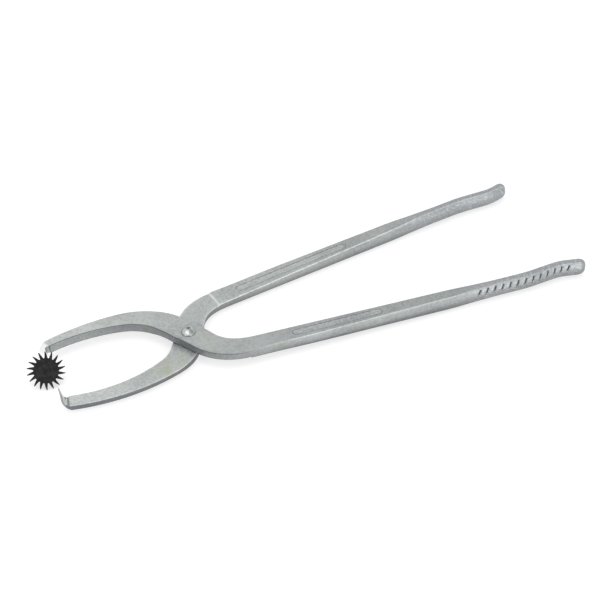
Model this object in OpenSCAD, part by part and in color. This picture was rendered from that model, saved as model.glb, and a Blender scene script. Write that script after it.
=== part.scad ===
// Brake spring pliers: two forged halves on one rivet, a rolling star wheel on one jaw
// and a drawn-out hook on the other. Millimetres. The rivet's axis is Z, the plane where
// the halves meet is z = 0, the handles run towards +X. The star half lies on top.

/* [Joint] */
// Thickness of each half where they cross
half_thickness = 4.5; // [4:0.1:5.5]
// Width of the bar that crosses the joint
joint_width = 15.8; // [14:0.1:18]
// Radius of the round shoulder beside the rivet
shoulder_radius = 9.6; // [9.2:0.1:11]
// Direction in which the bar crosses the joint, seen from above
joint_heading = 118.3; // [116:0.1:120]
// Slope of the forged sides
draft_angle = 15; // [8:0.5:17]
// Edge rounding of the forging
edge_round = 0.6; // [0.3:0.05:0.8]

/* [Star jaw] */
// Straight run from the rivet into the jaw
star_root = 7.8; // [5:0.1:10]
// Radius of the bend at the jaw's root
star_root_radius = 39.1; // [37:0.1:42]
// Turn of the bend at the jaw's root
star_root_turn = 52.7; // [51:0.1:54]
// Radius of the long bow in front of it
star_bow_radius = 118.7; // [110:0.1:135]
// Length of the jaw along its middle, rivet to tip bend
star_reach = 87.8; // [84:0.1:92]
// Width just before the tip bend
star_tip_width = 7.7; // [7:0.1:9]
// How far the wheel stands ahead of the tip bend
wheel_ahead = 7.4; // [6.6:0.1:8.2]
// How far the wheel stands inwards of the tip bend
wheel_inward = 18.9; // [18:0.1:20]
// Height of the wheel's middle over the meeting plane
wheel_level = 2.2; // [1.4:0.1:3]
// Rise of the wheel's axis over the meeting plane
wheel_lean = 42; // [38:0.5:46]
// Turn of the wheel's axis away from square to the tool
wheel_turn = 10; // [6:0.5:14]
// Radius of the round pad behind the wheel
pad_radius = 4.2; // [3.8:0.1:5]
// Thickness of the pad
pad_thickness = 3; // [2.6:0.1:3.4]

/* [Hook jaw] */
// Straight run from the rivet into the jaw
hook_root = 2.3; // [1:0.1:4]
// Radius of the bend at the jaw's root
hook_root_radius = 31.8; // [30:0.1:34]
// Turn of the bend at the jaw's root
hook_root_turn = 42.2; // [41:0.1:44]
// Radius of the long bow in front of it
hook_bow_radius = 102.9; // [98:0.1:110]
// Length of the jaw along its middle, rivet to tip bend
hook_reach = 86.2; // [83:0.1:89]
// Width just before the tip bend
hook_tip_width = 8.3; // [7.5:0.1:9]
// How far the point stands ahead of the tip bend
point_ahead = 3.7; // [3:0.1:4.6]
// How far the point stands inwards of the tip bend
point_inward = 9.1; // [8:0.1:10]
// Height of the point over the meeting plane
point_rise = 3; // [2:0.1:4]
// Width of the point's end
point_width = 1.1; // [0.8:0.05:1.6]

/* [Handles] */
// Straight run from the rivet into the neck
neck_straight = 12.5; // [11:0.1:14]
// Radius of the neck's bend
neck_radius = 26; // [24:0.1:28]
// Turn of the neck's bend
neck_turn = 56.4; // [55:0.1:57.5]
// Width of the handle right behind the neck
neck_width = 13.8; // [12.5:0.1:15]
// Height of the small riser between the flat neck and the handle
riser = 0.7; // [0.4:0.05:1]
// Length of the straight handle between the neck and the palm curve
handle_straight = 170; // [150:1:185]
// Width of the grip
grip_width = 8.5; // [7.5:0.1:10]
// Height of the grip
grip_height = 9.8; // [9.2:0.1:11.2]
// Width of the narrow flat along the grip's top and underside
grip_flat = 3.4; // [2.6:0.1:4.2]
// Turn of the curve under the palm, inwards
palm_turn = 6.5; // [3:0.5:8]
// Turn of the flare at the end, outwards
flare_turn = 17; // [10:0.5:22]
// Length of the star half's flared end behind its bend
flare_length = 12; // [9:0.5:16]
// How much shorter the hook half's flared end is
hook_end_less = 4; // [0:0.5:4]

/* [Grip notches and bare panels] */
// Number of slanted notches on the outer side of each grip
notch_count = 13; // [8:1:13]
// Distance from notch to notch
notch_pitch = 5; // [4:0.1:5.2]
// Width of a notch
notch_width = 1.5; // [1:0.1:2]
// Depth of a notch
notch_depth = 0.6; // [0.3:0.05:0.8]
// Slant of a notch
notch_slant = 26; // [0:1:30]
// Length of the bare sunk panel on the star half
star_panel = 55; // [40:1:60]
// Length of the bare sunk panel on the hook half
hook_panel = 76; // [60:1:80]
// Width of the panels
panel_width = 5; // [3:0.1:5.5]
// Depth of the panels
panel_depth = 0.35; // [0.2:0.05:0.5]

/* [Rivets] */
// Diameter of the joint rivet's shank
pivot_diameter = 5.6; // [5:0.1:6.5]
// Diameter of the joint rivet's domed head
pivot_head = 8.4; // [8:0.1:10]
// Height of the domed head
pivot_dome = 1.8; // [1.4:0.1:2.4]
// Diameter of the closing head, flush in the underside
closing_head = 8; // [7.6:0.1:9]
// Depth of the closing head's seat
closing_depth = 1.3; // [1:0.1:1.6]
// Diameter of the wheel rivet's shank
wheel_pin = 3.4; // [3:0.1:3.8]
// Diameter of the wheel rivet's heads
wheel_pin_head = 5.4; // [5:0.1:6]
// Height of the wheel rivet's heads
wheel_pin_dome = 0.9; // [0.7:0.05:1.2]
// Depth of the flat seat that is cut for the rear head into the pad
wheel_pin_seat = 0.1; // [0.05:0.05:0.3]

/* [Star wheel] */
// Diameter over the tooth tips
wheel_diameter = 21.6; // [20:0.1:22]
// Diameter at the tooth roots
wheel_root = 14.5; // [13.5:0.1:15.5]
// Thickness of the wheel
wheel_thickness = 2; // [1.6:0.1:2.2]
// Number of teeth
wheel_teeth = 18; // [14:1:20]
// Width of a tooth at its root
tooth_base = 1.8; // [1.4:0.1:2]
// Width of a tooth at its tip
tooth_tip = 0.5; // [0.3:0.05:0.7]
// How far the tooth tips sweep round from their roots
tooth_sweep = 3; // [0:0.5:6]

/* [Clearances] */
// Gap all round between a turning part and its rivet
shaft_gap = 0.05; // [0.02:0.01:0.09]
// Gap between faces that slide on each other
face_gap = 0.08; // [0.05:0.01:0.15]

/* [Hidden] */

star_jaw = [[star_root, 0], [star_root_radius * star_root_turn * PI / 180, star_root_turn],
            [star_reach, star_reach / star_bow_radius * 180 / PI]];
hook_jaw = [[hook_root, 0], [hook_root_radius * hook_root_turn * PI / 180, hook_root_turn],
            [hook_reach, hook_reach / hook_bow_radius * 180 / PI]];
neck_end = neck_straight + neck_radius * neck_turn * PI / 180;
palm_start = neck_end + handle_straight;
palm_length = 11;
palm_flat = 13;
flare_bend = 9;
handle_path = [[neck_straight, 0], [neck_end - neck_straight, neck_turn], [handle_straight, 0],
               [palm_length, palm_turn], [palm_flat, 0], [flare_bend, -flare_turn], [flare_length, 0]];
handle_end = palm_start + palm_length + palm_flat + flare_bend + flare_length;
hook_handle_end = handle_end - hook_end_less;
end_round = grip_width / 2 + 0.6;
riser_at = neck_end - 0.6;
grip_start = palm_start - 30;
mate_round = 0.5;

// Plain helpers
function heading(a) = [cos(a), sin(a)];
function mix(a, b, t) = a + (b - a) * t;
function ramp(t) = let (c = max(0, min(1, t))) c;
function ease(t) = let (c = ramp(t)) c * c * (3 - 2 * c);
function unit(v) = v / norm(v);
function lift(p, z) = [p[0], p[1], z];

// Point and heading after a walk of s along a path of [length, turn] runs
function walk(p, h, path, s, i = 0) =
    let (k = path[i][1] / path[i][0],
         last = i == len(path) - 1,
         d = last ? s : min(s, path[i][0]),
         q = abs(k) < 0.0001 ? p + d * heading(h)
             : p + 180 / (PI * k) * (heading(h + k * d - 90) - heading(h - 90)))
    last || s <= path[i][0] ? [q[0], q[1], h + k * d] : walk(q, h + k * d, path, s - d, i + 1);

// Station on the middle line: point, side direction. Jaw stations are negative.
function station(s, jaw) = s < 0
    ? let (w = walk([0, 0], joint_heading, jaw, -s)) [[w[0], w[1]], heading(w[2] + 90)]
    : let (w = walk([0, 0], joint_heading + 180, handle_path, s)) [[w[0], w[1]], heading(w[2] - 90)];

// Half width where the two dies of the forging met
function jaw_half(s, tip, reach, start, power) =
    mix(tip, joint_width + 0.2, pow(1 - ramp((s - start) / (reach - start)), power)) / 2;
function handle_half(s) = (s < neck_end
    ? mix(joint_width, neck_width, ramp((s - neck_straight) / (neck_end - neck_straight)))
    : mix(neck_width, grip_width, ramp((s - neck_end) / (grip_start - neck_end)))) / 2;

// Levels of the underside and the top along the handle
function under_level(s) =
    -riser * ramp((s - riser_at) / 0.9)
    - (grip_height / 2 - riser) * ramp((s - riser_at) / (grip_start + 8 - riser_at));
function top_level(s) = mix(half_thickness, grip_height / 2, ramp((s - riser_at) / (grip_start - riser_at)));

// Slope of the forged sides: steep at the joint, steepest along the neck's outer side
function jaw_draft(s) = mix(2, draft_angle, ease((s - 12) / 14));
function outer_draft(s) = mix(0, draft_angle * 0.75, ease((s - 34) / 20));
function inner_draft(s) = 2 + draft_angle * (0.4 * ease((s - 5) / 10) + 0.45 * ease((s - 32) / 14));
function outer_trim(s) = 0.6 * ease((s - 14) / 20) * (1 - ease((s - 46) / 40));
function grip_blend(s) = ease((s - grip_start + 18) / 36);

// One side of a forged section, underside to top, as [half width, height]
function side(w, z0, zp, z1, in0, in1, power, r0, r1) = [
    for (p = [[z0, r0], [z0 + 0.3 * r0, 0.3 * r0], [z0 + r0, 0], [zp, 0],
              [mix(zp, z1 - r1, 0.4), 0], [mix(zp, z1 - r1, 0.75), 0],
              [z1 - r1, 0], [z1 - 0.3 * r1, 0.3 * r1], [z1, r1]])
    [w - p[1] - (p[0] < zp ? in0 * pow((zp - p[0]) / (zp - z0), power)
                           : in1 * pow((p[0] - zp) / (z1 - zp), power)), p[0]]];

// Closed section: side_a on the side direction, side_b opposite
function section(side_a, side_b) = concat(side_a, [for (i = [len(side_b) - 1:-1:0]) [-side_b[i][0], side_b[i][1]]]);

// Section of the flat bar in jaw and joint, seen along the bar
function bar_section(wa, wb, slope, height, r) = let (inset = height * tan(slope)) section(
    side(wa, 0, mate_round + 0.15, height, 0, inset, 1, mate_round, r),
    side(wb, 0, mate_round + 0.15, height, 0, inset, 1, mate_round, r));

// Section of the handle at s, shrunk towards the rounded end
function handle_section(s, last) =
    let (g = grip_blend(s), w = handle_half(s),
         t = ramp((s - last + end_round) / end_round),
         fw = sqrt(1 - t * t), fz = pow(1 - t * t, 0.25),
         z0 = under_level(s) * fz, z1 = top_level(s) * fz,
         zp = s < riser_at ? mate_round + 0.15 : mix(mate_round + 0.15, 0, ramp((s - riser_at) / 0.9)),
         wa = (w - outer_trim(s)) * fw, sa = tan(outer_draft(s)), sb = tan(inner_draft(s)),
         wb = s < shoulder_radius ? max(w, sqrt(shoulder_radius * shoulder_radius - s * s)) : w * fw,
         full = w - grip_flat / 2, up = z1 - zp, down = max(0, zp - z0 - 0.5),
         power = mix(1, 2.2, g), r = edge_round * mix(1, 0.5, g) * fw, r0 = mate_round * fw)
    section(side(wa, z0, zp, z1, mix(down * sa, full, g) * fw, mix(up * sa, full, g) * fw, power, r0, r),
            side(wb, z0, zp, z1, mix(down * sb, full, g) * fw, mix(up * sb, full, g) * fw, power, r0, r));

// Jaw section at s from the rivet; the shoulder bulges on the side away from the rivet's hollow
function jaw_section(s, tip, reach, start, power) =
    let (w = jaw_half(s, tip, reach, start, power), lean = 0.6 * (1 - ease(s / 26)) * ease(s / 4),
         near = s < shoulder_radius ? max(w - lean, sqrt(shoulder_radius * shoulder_radius - s * s)) : w - lean)
    bar_section(w + lean, near, jaw_draft(s), half_thickness, edge_round);

function flat_ring(s, jaw, sec) = let (f = station(s, jaw))
    [for (q = sec) lift(f[0] + q[0] * f[1], q[1])];

// Curve of four points, its direction, and a ring of a section held square to it
function curve(c, t) = pow(1 - t, 3) * c[0] + 3 * pow(1 - t, 2) * t * c[1] + 3 * (1 - t) * t * t * c[2] + pow(t, 3) * c[3];
function slope_of(c, t) = unit(pow(1 - t, 2) * (c[1] - c[0]) + 2 * (1 - t) * t * (c[2] - c[1]) + t * t * (c[3] - c[2]));
function held(p, d, n, sec, mid) = let (v = unit(n - (n * d) * d), u = cross(v, d))
    [for (q = sec) p + q[0] * u + (q[1] - mid) * v];

// Star jaw's tip: bends inwards and down into the round pad behind the wheel
star_end = walk([0, 0], joint_heading, star_jaw, star_reach);
wheel_axis = let (c = cos(wheel_lean)) [-c * sin(wheel_turn), -c * cos(wheel_turn), sin(wheel_lean)];
wheel_side = [cos(wheel_turn), -sin(wheel_turn), 0];
wheel_up = cross(wheel_axis, wheel_side);
wheel_centre = [star_end[0] - wheel_ahead, star_end[1] - wheel_inward, wheel_level];
pad_drop = wheel_thickness / 2 + face_gap + pad_thickness / 2;
rear_seat = wheel_pin_seat - pad_drop - pad_thickness / 2;
pad_centre = wheel_centre - pad_drop * wheel_axis;
pad_dir = -cos(8) * wheel_up - sin(8) * wheel_side;
star_fold = lift(star_end, half_thickness / 2);
star_curve = [star_fold, star_fold + 6.5 * lift(heading(star_end[2]), 0), pad_centre - 8 * pad_dir, pad_centre];
function waist(t) = sin(180 * ramp(t * 1.25));
function pad_section(w, t) = let (h = mix(half_thickness, pad_thickness, ease(t)))
    bar_section(w - 1.8 * waist(t), w - 2 * waist(t), mix(draft_angle, 0, ease(t * 1.5)), h, edge_round);
function pad_mid(t) = mix(half_thickness, pad_thickness, ease(t)) / 2;
star_tip_rings = concat(
    [for (a = [80:-16:16]) held(pad_centre + pad_radius * sin(a) * pad_dir, pad_dir, wheel_axis,
                                pad_section(pad_radius * cos(a), 1), pad_thickness / 2)],
    [for (i = [14:-1:1]) let (t = i / 14, d = slope_of(star_curve, t))
        held(curve(star_curve, t), d, mix([0, 0, 1], wheel_axis, ease(t)),
             pad_section(mix(star_tip_width / 2, pad_radius, ease(t * 1.4 - 0.4)), t), pad_mid(t))]);

// Hook jaw's tip: bends across the meeting plane and is drawn out to a point
hook_end = walk([0, 0], joint_heading, hook_jaw, hook_reach);
hook_fold = lift(hook_end, half_thickness / 2);
point_dir = unit([0, -0.85, -0.5]);
point_tip = [hook_end[0] - point_ahead, hook_end[1] - point_inward, -point_rise];
hook_curve = [hook_fold, hook_fold + 3.4 * lift(heading(hook_end[2]), 0), point_tip - 6 * point_dir, point_tip];
hook_tip_rings = [for (i = [16:-1:1]) let (t = i / 16, d = slope_of(hook_curve, t),
        w = mix(hook_tip_width, point_width, 1 - pow(1 - t, 1.5)) / 2,
        h = mix(half_thickness, point_width * 0.9, 1 - pow(1 - t, 1.2)), r = min(edge_round, h / 4))
    held(curve(hook_curve, t), d, mix([0, 0, 1], [-0.96, -0.1, 0.26], ease(t * 1.3)),
         section(side(w, 0, h * 0.4, h, 0, min(w * 0.4, h * tan(draft_angle)), 1, r * 0.6, r),
                 side(w, 0, h * 0.4, h, 0, min(w * 0.4, h * tan(draft_angle)), 1, r * 0.6, r)), h / 2)];

// Stations along the handle, close together where the shape changes
function handle_stops(last) = concat([for (s = [1:1.6:neck_end - 3]) s], [riser_at - 1, riser_at, riser_at + 0.9, riser_at + 3],
    [for (i = [1:8]) mix(riser_at + 3, grip_start - 20, i / 8)],
    [for (s = [grip_start - 15:5:palm_start - 1]) s],
    [for (i = [0:8]) mix(palm_start, palm_start + palm_length + palm_flat, i / 8)],
    [for (i = [1:8]) mix(palm_start + palm_length + palm_flat, last - end_round, i / 8)],
    [for (a = [18:14:74]) last - end_round * (1 - sin(a))]);

// Skin through a row of rings, closed at both ends
module skin(rings) {
    m = len(rings[0]);
    polyhedron(
        points = [for (r = rings) for (p = r) p],
        faces = concat(
            [[for (j = [0:m - 1]) j]],
            [for (i = [0:len(rings) - 2]) for (j = [0:m - 1]) let (a = i * m + j, b = i * m + (j + 1) % m)
                each [[a, a + m, b], [b, a + m, b + m]]],
            [[for (j = [m - 1:-1:0]) (len(rings) - 1) * m + j]]),
        convexity = 8);
}

// One forged half, lying with its meeting face on z = 0 and its handle towards -Y
module forging(tip_rings, jaw, reach, tip_width, start, power, last, panel_from, panel_length, panel_level) {
    difference() {
        skin(concat(tip_rings,
            [for (s = [reach:-2.4:reach / 3]) flat_ring(-s, jaw, jaw_section(s, tip_width, reach, start, power))],
            [for (s = [reach / 3 - 1.6:-1.6:0.3]) flat_ring(-s, jaw, jaw_section(s, tip_width, reach, start, power))],
            [for (s = handle_stops(last)) flat_ring(s, jaw, handle_section(s, last))]));
        notches();
        panel(panel_from, panel_length, panel_level);
    }
}

// Slanted notches across the upper part of the grip's outer side
module notches() {
    for (i = [0:notch_count - 1]) {
        s = palm_start + 32 - i * notch_pitch;
        f = walk([0, 0], joint_heading + 180, handle_path, s);
        translate([f[0], f[1], 0]) rotate([0, 0, f[2]])
            translate([0, -grip_width / 2, 0.4]) rotate([-22, notch_slant, 0])
                rotate([0, 0, 45]) translate([-notch_width / 2, -notch_width / 2, 0])
                    translate([-notch_depth / 4, -notch_depth / 4, 0]) cube([notch_width, notch_width, 7]);
    }
}

// Bare sunk panel in the flat of the handle
module panel(from, length, level) {
    f = walk([0, 0], joint_heading + 180, handle_path, from);
    tilt = level > 0 ? 0.33 : -1.9;
    rise = level > 0 ? top_level(from) : under_level(from);
    translate([f[0], f[1], rise]) rotate([0, -tilt, f[2]])
        hull() for (x = [panel_width / 2, length - panel_width / 2])
            translate([x, 0, -panel_depth]) cylinder(d = panel_width, h = panel_depth * 2, $fn = 32);
}

module star_lever() {
    color([0.72, 0.74, 0.73]) difference() {
        forging(star_tip_rings, star_jaw, star_reach, star_tip_width, 22, 1.5, handle_end,
                neck_end + 27, star_panel, 1);
        cylinder(d = pivot_diameter + 2 * shaft_gap, h = 4 * half_thickness, center = true, $fn = 64);
        at_wheel() {
            cylinder(d = wheel_pin, h = 12, center = true, $fn = 48);
            translate([0, 0, rear_seat - 1]) cylinder(d = wheel_pin_head + 0.4, h = 1, $fn = 48);
        }
    }
}

module hook_lever() {
    color([0.72, 0.74, 0.73]) translate([0, 0, -face_gap]) rotate([180, 0, 0]) difference() {
        forging(hook_tip_rings, hook_jaw, hook_reach, hook_tip_width, 10, 2, hook_handle_end,
                neck_end + 15, hook_panel, -1);
        cylinder(d = pivot_diameter, h = 4 * half_thickness, center = true, $fn = 64);
        translate([0, 0, half_thickness - closing_depth])
            cylinder(d1 = pivot_diameter, d2 = closing_head, h = closing_depth, $fn = 64);
    }
}

// Joint rivet: dome above, shank, closing head flush in the underside
module pivot_rivet() {
    r = pivot_head / 2;
    ball = (r * r + pivot_dome * pivot_dome) / (2 * pivot_dome);
    top = half_thickness + face_gap;
    low = -half_thickness - face_gap;
    sweep = asin(r / ball);
    color([0.85, 0.86, 0.87]) rotate_extrude($fn = 64) polygon(concat(
        [[0, low], [closing_head / 2, low], [pivot_diameter / 2, low + closing_depth],
         [pivot_diameter / 2, top], [r - 0.2, top]],
        [for (i = [0:8]) let (a = sweep * (1 - i / 8)) [ball * sin(a), top + 0.2 + pivot_dome - ball + ball * cos(a)]]));
}

module at_wheel() {
    translate(wheel_centre) rotate([90 - wheel_lean, 0, -wheel_turn]) children();
}

// Outline of one tooth: slender, a little swept
function tooth(i) = let (a = i * 360 / wheel_teeth, base = tooth_base / wheel_root * 180 / PI,
        tip = tooth_tip / wheel_diameter * 180 / PI, mid = (wheel_root + wheel_diameter) / 4)
    [wheel_root / 2 * heading(a - base), mid * heading(a - (base + tip) * 0.42 + tooth_sweep * 0.3),
     wheel_diameter / 2 * heading(a - tip + tooth_sweep), wheel_diameter / 2 * heading(a + tip + tooth_sweep),
     mid * heading(a + (base + tip) * 0.42 + tooth_sweep * 0.3), wheel_root / 2 * heading(a + base)];

module star_wheel() {
    color([0.16, 0.16, 0.16]) at_wheel() difference() {
        linear_extrude(wheel_thickness, center = true, convexity = 6)
            polygon([for (i = [0:wheel_teeth - 1]) each tooth(i)]);
        cylinder(d = wheel_pin + 2 * shaft_gap, h = 2 * wheel_thickness, center = true, $fn = 48);
    }
}

// Wheel rivet: low domes in front of the wheel and behind the pad
module wheel_rivet() {
    r = wheel_pin_head / 2;
    ball = (r * r + wheel_pin_dome * wheel_pin_dome) / (2 * wheel_pin_dome);
    sweep = asin(r / ball);
    front = wheel_thickness / 2 + face_gap;
    color([0.22, 0.22, 0.22]) at_wheel() rotate_extrude($fn = 48) polygon(concat(
        [for (i = [0:6]) let (a = sweep * i / 6) [ball * sin(a), rear_seat - wheel_pin_dome + ball - ball * cos(a)]],
        [[wheel_pin / 2, rear_seat], [wheel_pin / 2, front]],
        [for (i = [6:-1:0]) let (a = sweep * i / 6) [ball * sin(a), front + wheel_pin_dome - ball + ball * cos(a)]]));
}

star_lever();
hook_lever();
pivot_rivet();
star_wheel();
wheel_rivet();
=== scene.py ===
"""Brake spring pliers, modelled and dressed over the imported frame.

Two drop-forged, zinc-plated halves turn on one polished rivet. The star half carries a
black toothed wheel on a small rivet, and the hook half ends in a bent point. Sizes are
millimetres in the frame's axes: the rivet's axis is Z, the halves meet at z = 0 and the
handles run towards +X. Meshes are handed to Blender in metres.
"""

import logging
import math
from dataclasses import dataclass, field, replace
from enum import Enum

import bmesh
import bpy
import numpy as np
from mathutils import Matrix, Vector


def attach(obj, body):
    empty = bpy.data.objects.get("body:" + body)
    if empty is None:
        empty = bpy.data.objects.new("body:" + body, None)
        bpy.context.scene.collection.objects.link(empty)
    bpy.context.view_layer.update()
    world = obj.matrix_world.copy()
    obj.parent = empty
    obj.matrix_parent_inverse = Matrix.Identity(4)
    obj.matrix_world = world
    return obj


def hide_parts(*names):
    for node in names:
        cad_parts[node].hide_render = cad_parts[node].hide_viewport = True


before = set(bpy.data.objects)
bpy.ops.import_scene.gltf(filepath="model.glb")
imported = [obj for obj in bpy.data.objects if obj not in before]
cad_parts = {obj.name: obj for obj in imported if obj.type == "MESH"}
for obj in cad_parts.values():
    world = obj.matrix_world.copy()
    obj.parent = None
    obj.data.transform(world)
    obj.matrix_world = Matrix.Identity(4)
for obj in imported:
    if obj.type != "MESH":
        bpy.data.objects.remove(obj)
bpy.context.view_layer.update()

LOG = logging.getLogger("pliers")
MM = 0.001
UPWARD = np.array([0.0, 0.0, 1.0])

Array = np.ndarray
Value = float | np.ndarray
Place = tuple[float, float, float]
Colour = tuple[float, float, float, float]
Row = tuple[float, ...]
Outline = list[tuple[float, float]]
Object = bpy.types.Object
Material = bpy.types.Material
Socket = bpy.types.NodeSocket
Feed = float | tuple[float, ...] | Socket


def ramp(value: float) -> float:
    """Return the value held between 0 and 1."""
    return min(1.0, max(0.0, value))


def ease(value: float) -> float:
    """Return a soft step: 0 below 0, 1 above 1, level at both ends."""
    held = ramp(value)
    return held * held * (3.0 - 2.0 * held)


def mix(first: Value, second: Value, share: Value) -> Value:
    """Return the value at a share of the way from the first to the second."""
    return first + (second - first) * share


def heading(angle: float) -> Array:
    """Return the unit direction in the plane at an angle in degrees."""
    return np.array([math.cos(math.radians(angle)), math.sin(math.radians(angle))])


def lifted(point: Array, level: float) -> Array:
    """Return a point of the plane set at a level."""
    return np.array([point[0], point[1], level])


def unit(vector: Array) -> Array:
    """Return the vector at length 1."""
    return vector / np.linalg.norm(vector)


class Half(Enum):
    """The two forged halves of the tool."""

    STAR = "star"
    HOOK = "hook"


class Face(Enum):
    """The two flat faces of a forged half, as it lies before it is turned over."""

    TOP = 1
    UNDER = -1


# Lines and sections


@dataclass(frozen=True)
class Fade:
    """A soft rise along a bar or a curve.

    Attributes:
        start: Where it starts.
        length: How far it takes to reach its amount.
        amount: The amount that it reaches.
    """

    start: float
    length: float
    amount: float = 1.0

    def at(self, place: float) -> float:
        """Return the amount reached at a place."""
        return self.amount * ease((place - self.start) / self.length)

    def left(self, place: float) -> float:
        """Return the amount still to come at a place."""
        return self.amount - self.at(place)


@dataclass(frozen=True)
class Run:
    """One straight or bent run of a bar's middle line.

    Attributes:
        length: Length along the middle line.
        turn: Turn over that length, in degrees.
    """

    length: float
    turn: float = 0.0


@dataclass(frozen=True)
class MiddleLine:
    """Middle line of a bar, walked run by run from the rivet.

    Attributes:
        start: Direction at the rivet, in degrees.
        runs: The runs in order. The last one goes on as far as it is walked.
        straight: A bend below this, in degrees for a millimetre, counts as straight.
    """

    start: float
    runs: tuple[Run, ...]
    straight: float = 1e-4

    def walk(self, distance: float) -> tuple[Array, float]:
        """Walk along the line.

        Args:
            distance: Distance from the rivet along the line.

        Returns:
            The point reached and the direction there, in degrees.
        """
        point, angle, left = np.zeros(2), self.start, distance
        for number, run in enumerate(self.runs):
            last = number == len(self.runs) - 1
            step = left if last else min(left, run.length)
            bend = run.turn / run.length
            if abs(bend) < self.straight:
                point = point + step * heading(angle)
            else:
                radius = 180.0 / (math.pi * bend)
                point = point + radius * (heading(angle + bend * step - 90) - heading(angle - 90))
            angle += bend * step
            if last or left <= run.length:
                break
            left -= run.length
        return point, angle


@dataclass(frozen=True)
class FreeCurve:
    """A curve for the bent tips.

    Attributes:
        points: Its start, the two points that draw it out and its end.
    """

    points: tuple[Array, Array, Array, Array]

    def at(self, share: float) -> Array:
        """Find the point at a share of the curve.

        Args:
            share: 0 at its start, 1 at its end.

        Returns:
            The point.
        """
        a, b, c, d = self.points
        back = 1.0 - share
        return back**3 * a + 3 * back**2 * share * b + 3 * back * share**2 * c + share**3 * d

    def direction(self, share: float) -> Array:
        """Find the direction at a share of the curve.

        Args:
            share: 0 at its start, 1 at its end.

        Returns:
            The unit direction.
        """
        a, b, c, d = self.points
        back = 1.0 - share
        return unit(back**2 * (b - a) + 2 * back * share * (c - b) + share**2 * (d - c))


# Where the rows of a section lie: angles round its edges, shares up its sides, and offsets
# across a flat face that reaches FACE_HALF to both sides, close at the sunk panel's wall.
LOWER_EDGE = (0.0, 22.5, 45.0, 67.5, 90.0)
LOWER_SIDE = (0.25, 0.5, 0.75, 1.0)
UPPER_SIDE = (0.06, 0.2, 0.34, 0.48, 0.62, 0.76, 0.9)
UPPER_EDGE = (0.0, 18.0, 36.0, 54.0, 72.0, 90.0)
FACE_HALF = 3.1
COLUMNS = np.array([2.78, 2.62, 2.5, 2.36, 1.6, 0.8, 0.0, -0.8, -1.6, -2.36, -2.5, -2.62, -2.78])


@dataclass(frozen=True)
class Flank:
    """One side of a forged section, drafted both ways from the parting line.

    Attributes:
        width: Distance from the middle to the parting line.
        under: Level of the underside.
        parting: Level of the parting line.
        top: Level of the top.
        inset_under: How far the side leans in at the underside.
        inset_top: How far the side leans in at the top.
        power: 1 for a straight lean, more for a rounded one.
        round_under: Rounding of the lower edge.
        round_top: Rounding of the upper edge.
    """

    width: float
    under: float
    parting: float
    top: float
    inset_under: float
    inset_top: float
    power: float
    round_under: float
    round_top: float

    def lean(self, level: float) -> float:
        """Find how far the side stands in from the parting line.

        Args:
            level: The level asked for.

        Returns:
            The distance in millimetres.
        """
        if level < self.parting:
            share = (self.parting - level) / (self.parting - self.under)
            return self.inset_under * share**self.power
        share = (level - self.parting) / (self.top - self.parting)
        return self.inset_top * share**self.power

    def row(self, level: float, inset: float = 0.0, edge: float = 0.0, side: float = 1.0) -> Row:
        """Return one row: half width, level, edge share and side share."""
        return self.width - inset - self.lean(level), level, edge, side

    def outline(self) -> Array:
        """Trace the side from the underside to the top.

        Returns:
            Rows of half width, level, edge share and side share.
        """
        rows: list[Row] = []
        for angle in LOWER_EDGE:
            a = math.radians(angle)
            level = self.under + self.round_under * (1 - math.cos(a))
            rows.append(self.row(level, self.round_under * (1 - math.sin(a)), math.sin(2 * a), angle / 90))
        start, end = self.under + self.round_under, self.top - self.round_top
        rows += [self.row(mix(start, self.parting, share)) for share in LOWER_SIDE]
        rows += [self.row(mix(self.parting, end, share)) for share in UPPER_SIDE]
        for angle in UPPER_EDGE:
            a = math.radians(angle)
            level = end + self.round_top * math.sin(a)
            rows.append(self.row(level, self.round_top * (1 - math.cos(a)), math.sin(2 * a), 1 - angle / 90))
        return np.array(rows)


def face_rows(start: Array, end: Array) -> Array:
    """Lay the rows of a flat face between two edges.

    Args:
        start: The last row of the side that it starts from.
        end: The first row of the side that it runs to.

    Returns:
        Rows of offset, level, edge share and side share.
    """
    room = min(abs(start[0]), abs(end[0])) / FACE_HALF
    sign = 1.0 if start[0] > end[0] else -1.0
    inner = sign * COLUMNS * min(1.0, room)
    columns = np.concatenate([[mix(start[0], inner[0], 0.5)], inner, [mix(inner[-1], end[0], 0.5)]])
    level = np.interp(columns * sign, [end[0] * sign, start[0] * sign], [end[1], start[1]])
    nothing = np.zeros(len(columns))
    return np.stack([columns, level, nothing, nothing], axis=1)


def closed_section(positive: Flank, negative: Flank) -> Array:
    """Close two sides to one ring with rows across the top and the underside.

    Args:
        positive: The side with positive offsets.
        negative: The side with negative offsets.

    Returns:
        Rows of offset, level, edge share and side share, once round.
    """
    up, down = positive.outline(), negative.outline()[::-1].copy()
    down[:, 0] *= -1
    return np.concatenate([up, face_rows(up[-1], down[0]), down, face_rows(down[-1], up[0])])


@dataclass(frozen=True)
class SunkPanel:
    """A bare sunk field in one flat face of the handle.

    Attributes:
        start: Distance from the rivet to its near end.
        length: Length of the field.
        width: Width of the field.
        depth: Depth of the field.
        face: The face that it lies in.
        spill: How far its soft wall reaches over its outline.
        wall: Width of that wall.
    """

    start: float
    length: float
    width: float
    depth: float
    face: Face
    spill: float = 0.1
    wall: float = 0.4

    def share(self, station: float, offset: float) -> float:
        """Find how deep a point of the face lies in the field.

        Args:
            station: Distance from the rivet.
            offset: Distance from the middle of the face.

        Returns:
            1 inside the field, 0 outside and a soft wall between.
        """
        radius = self.width / 2
        along = max(self.start + radius - station, station - self.start - self.length + radius, 0.0)
        return ease((radius + self.spill - math.hypot(along, offset)) / self.wall)


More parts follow.
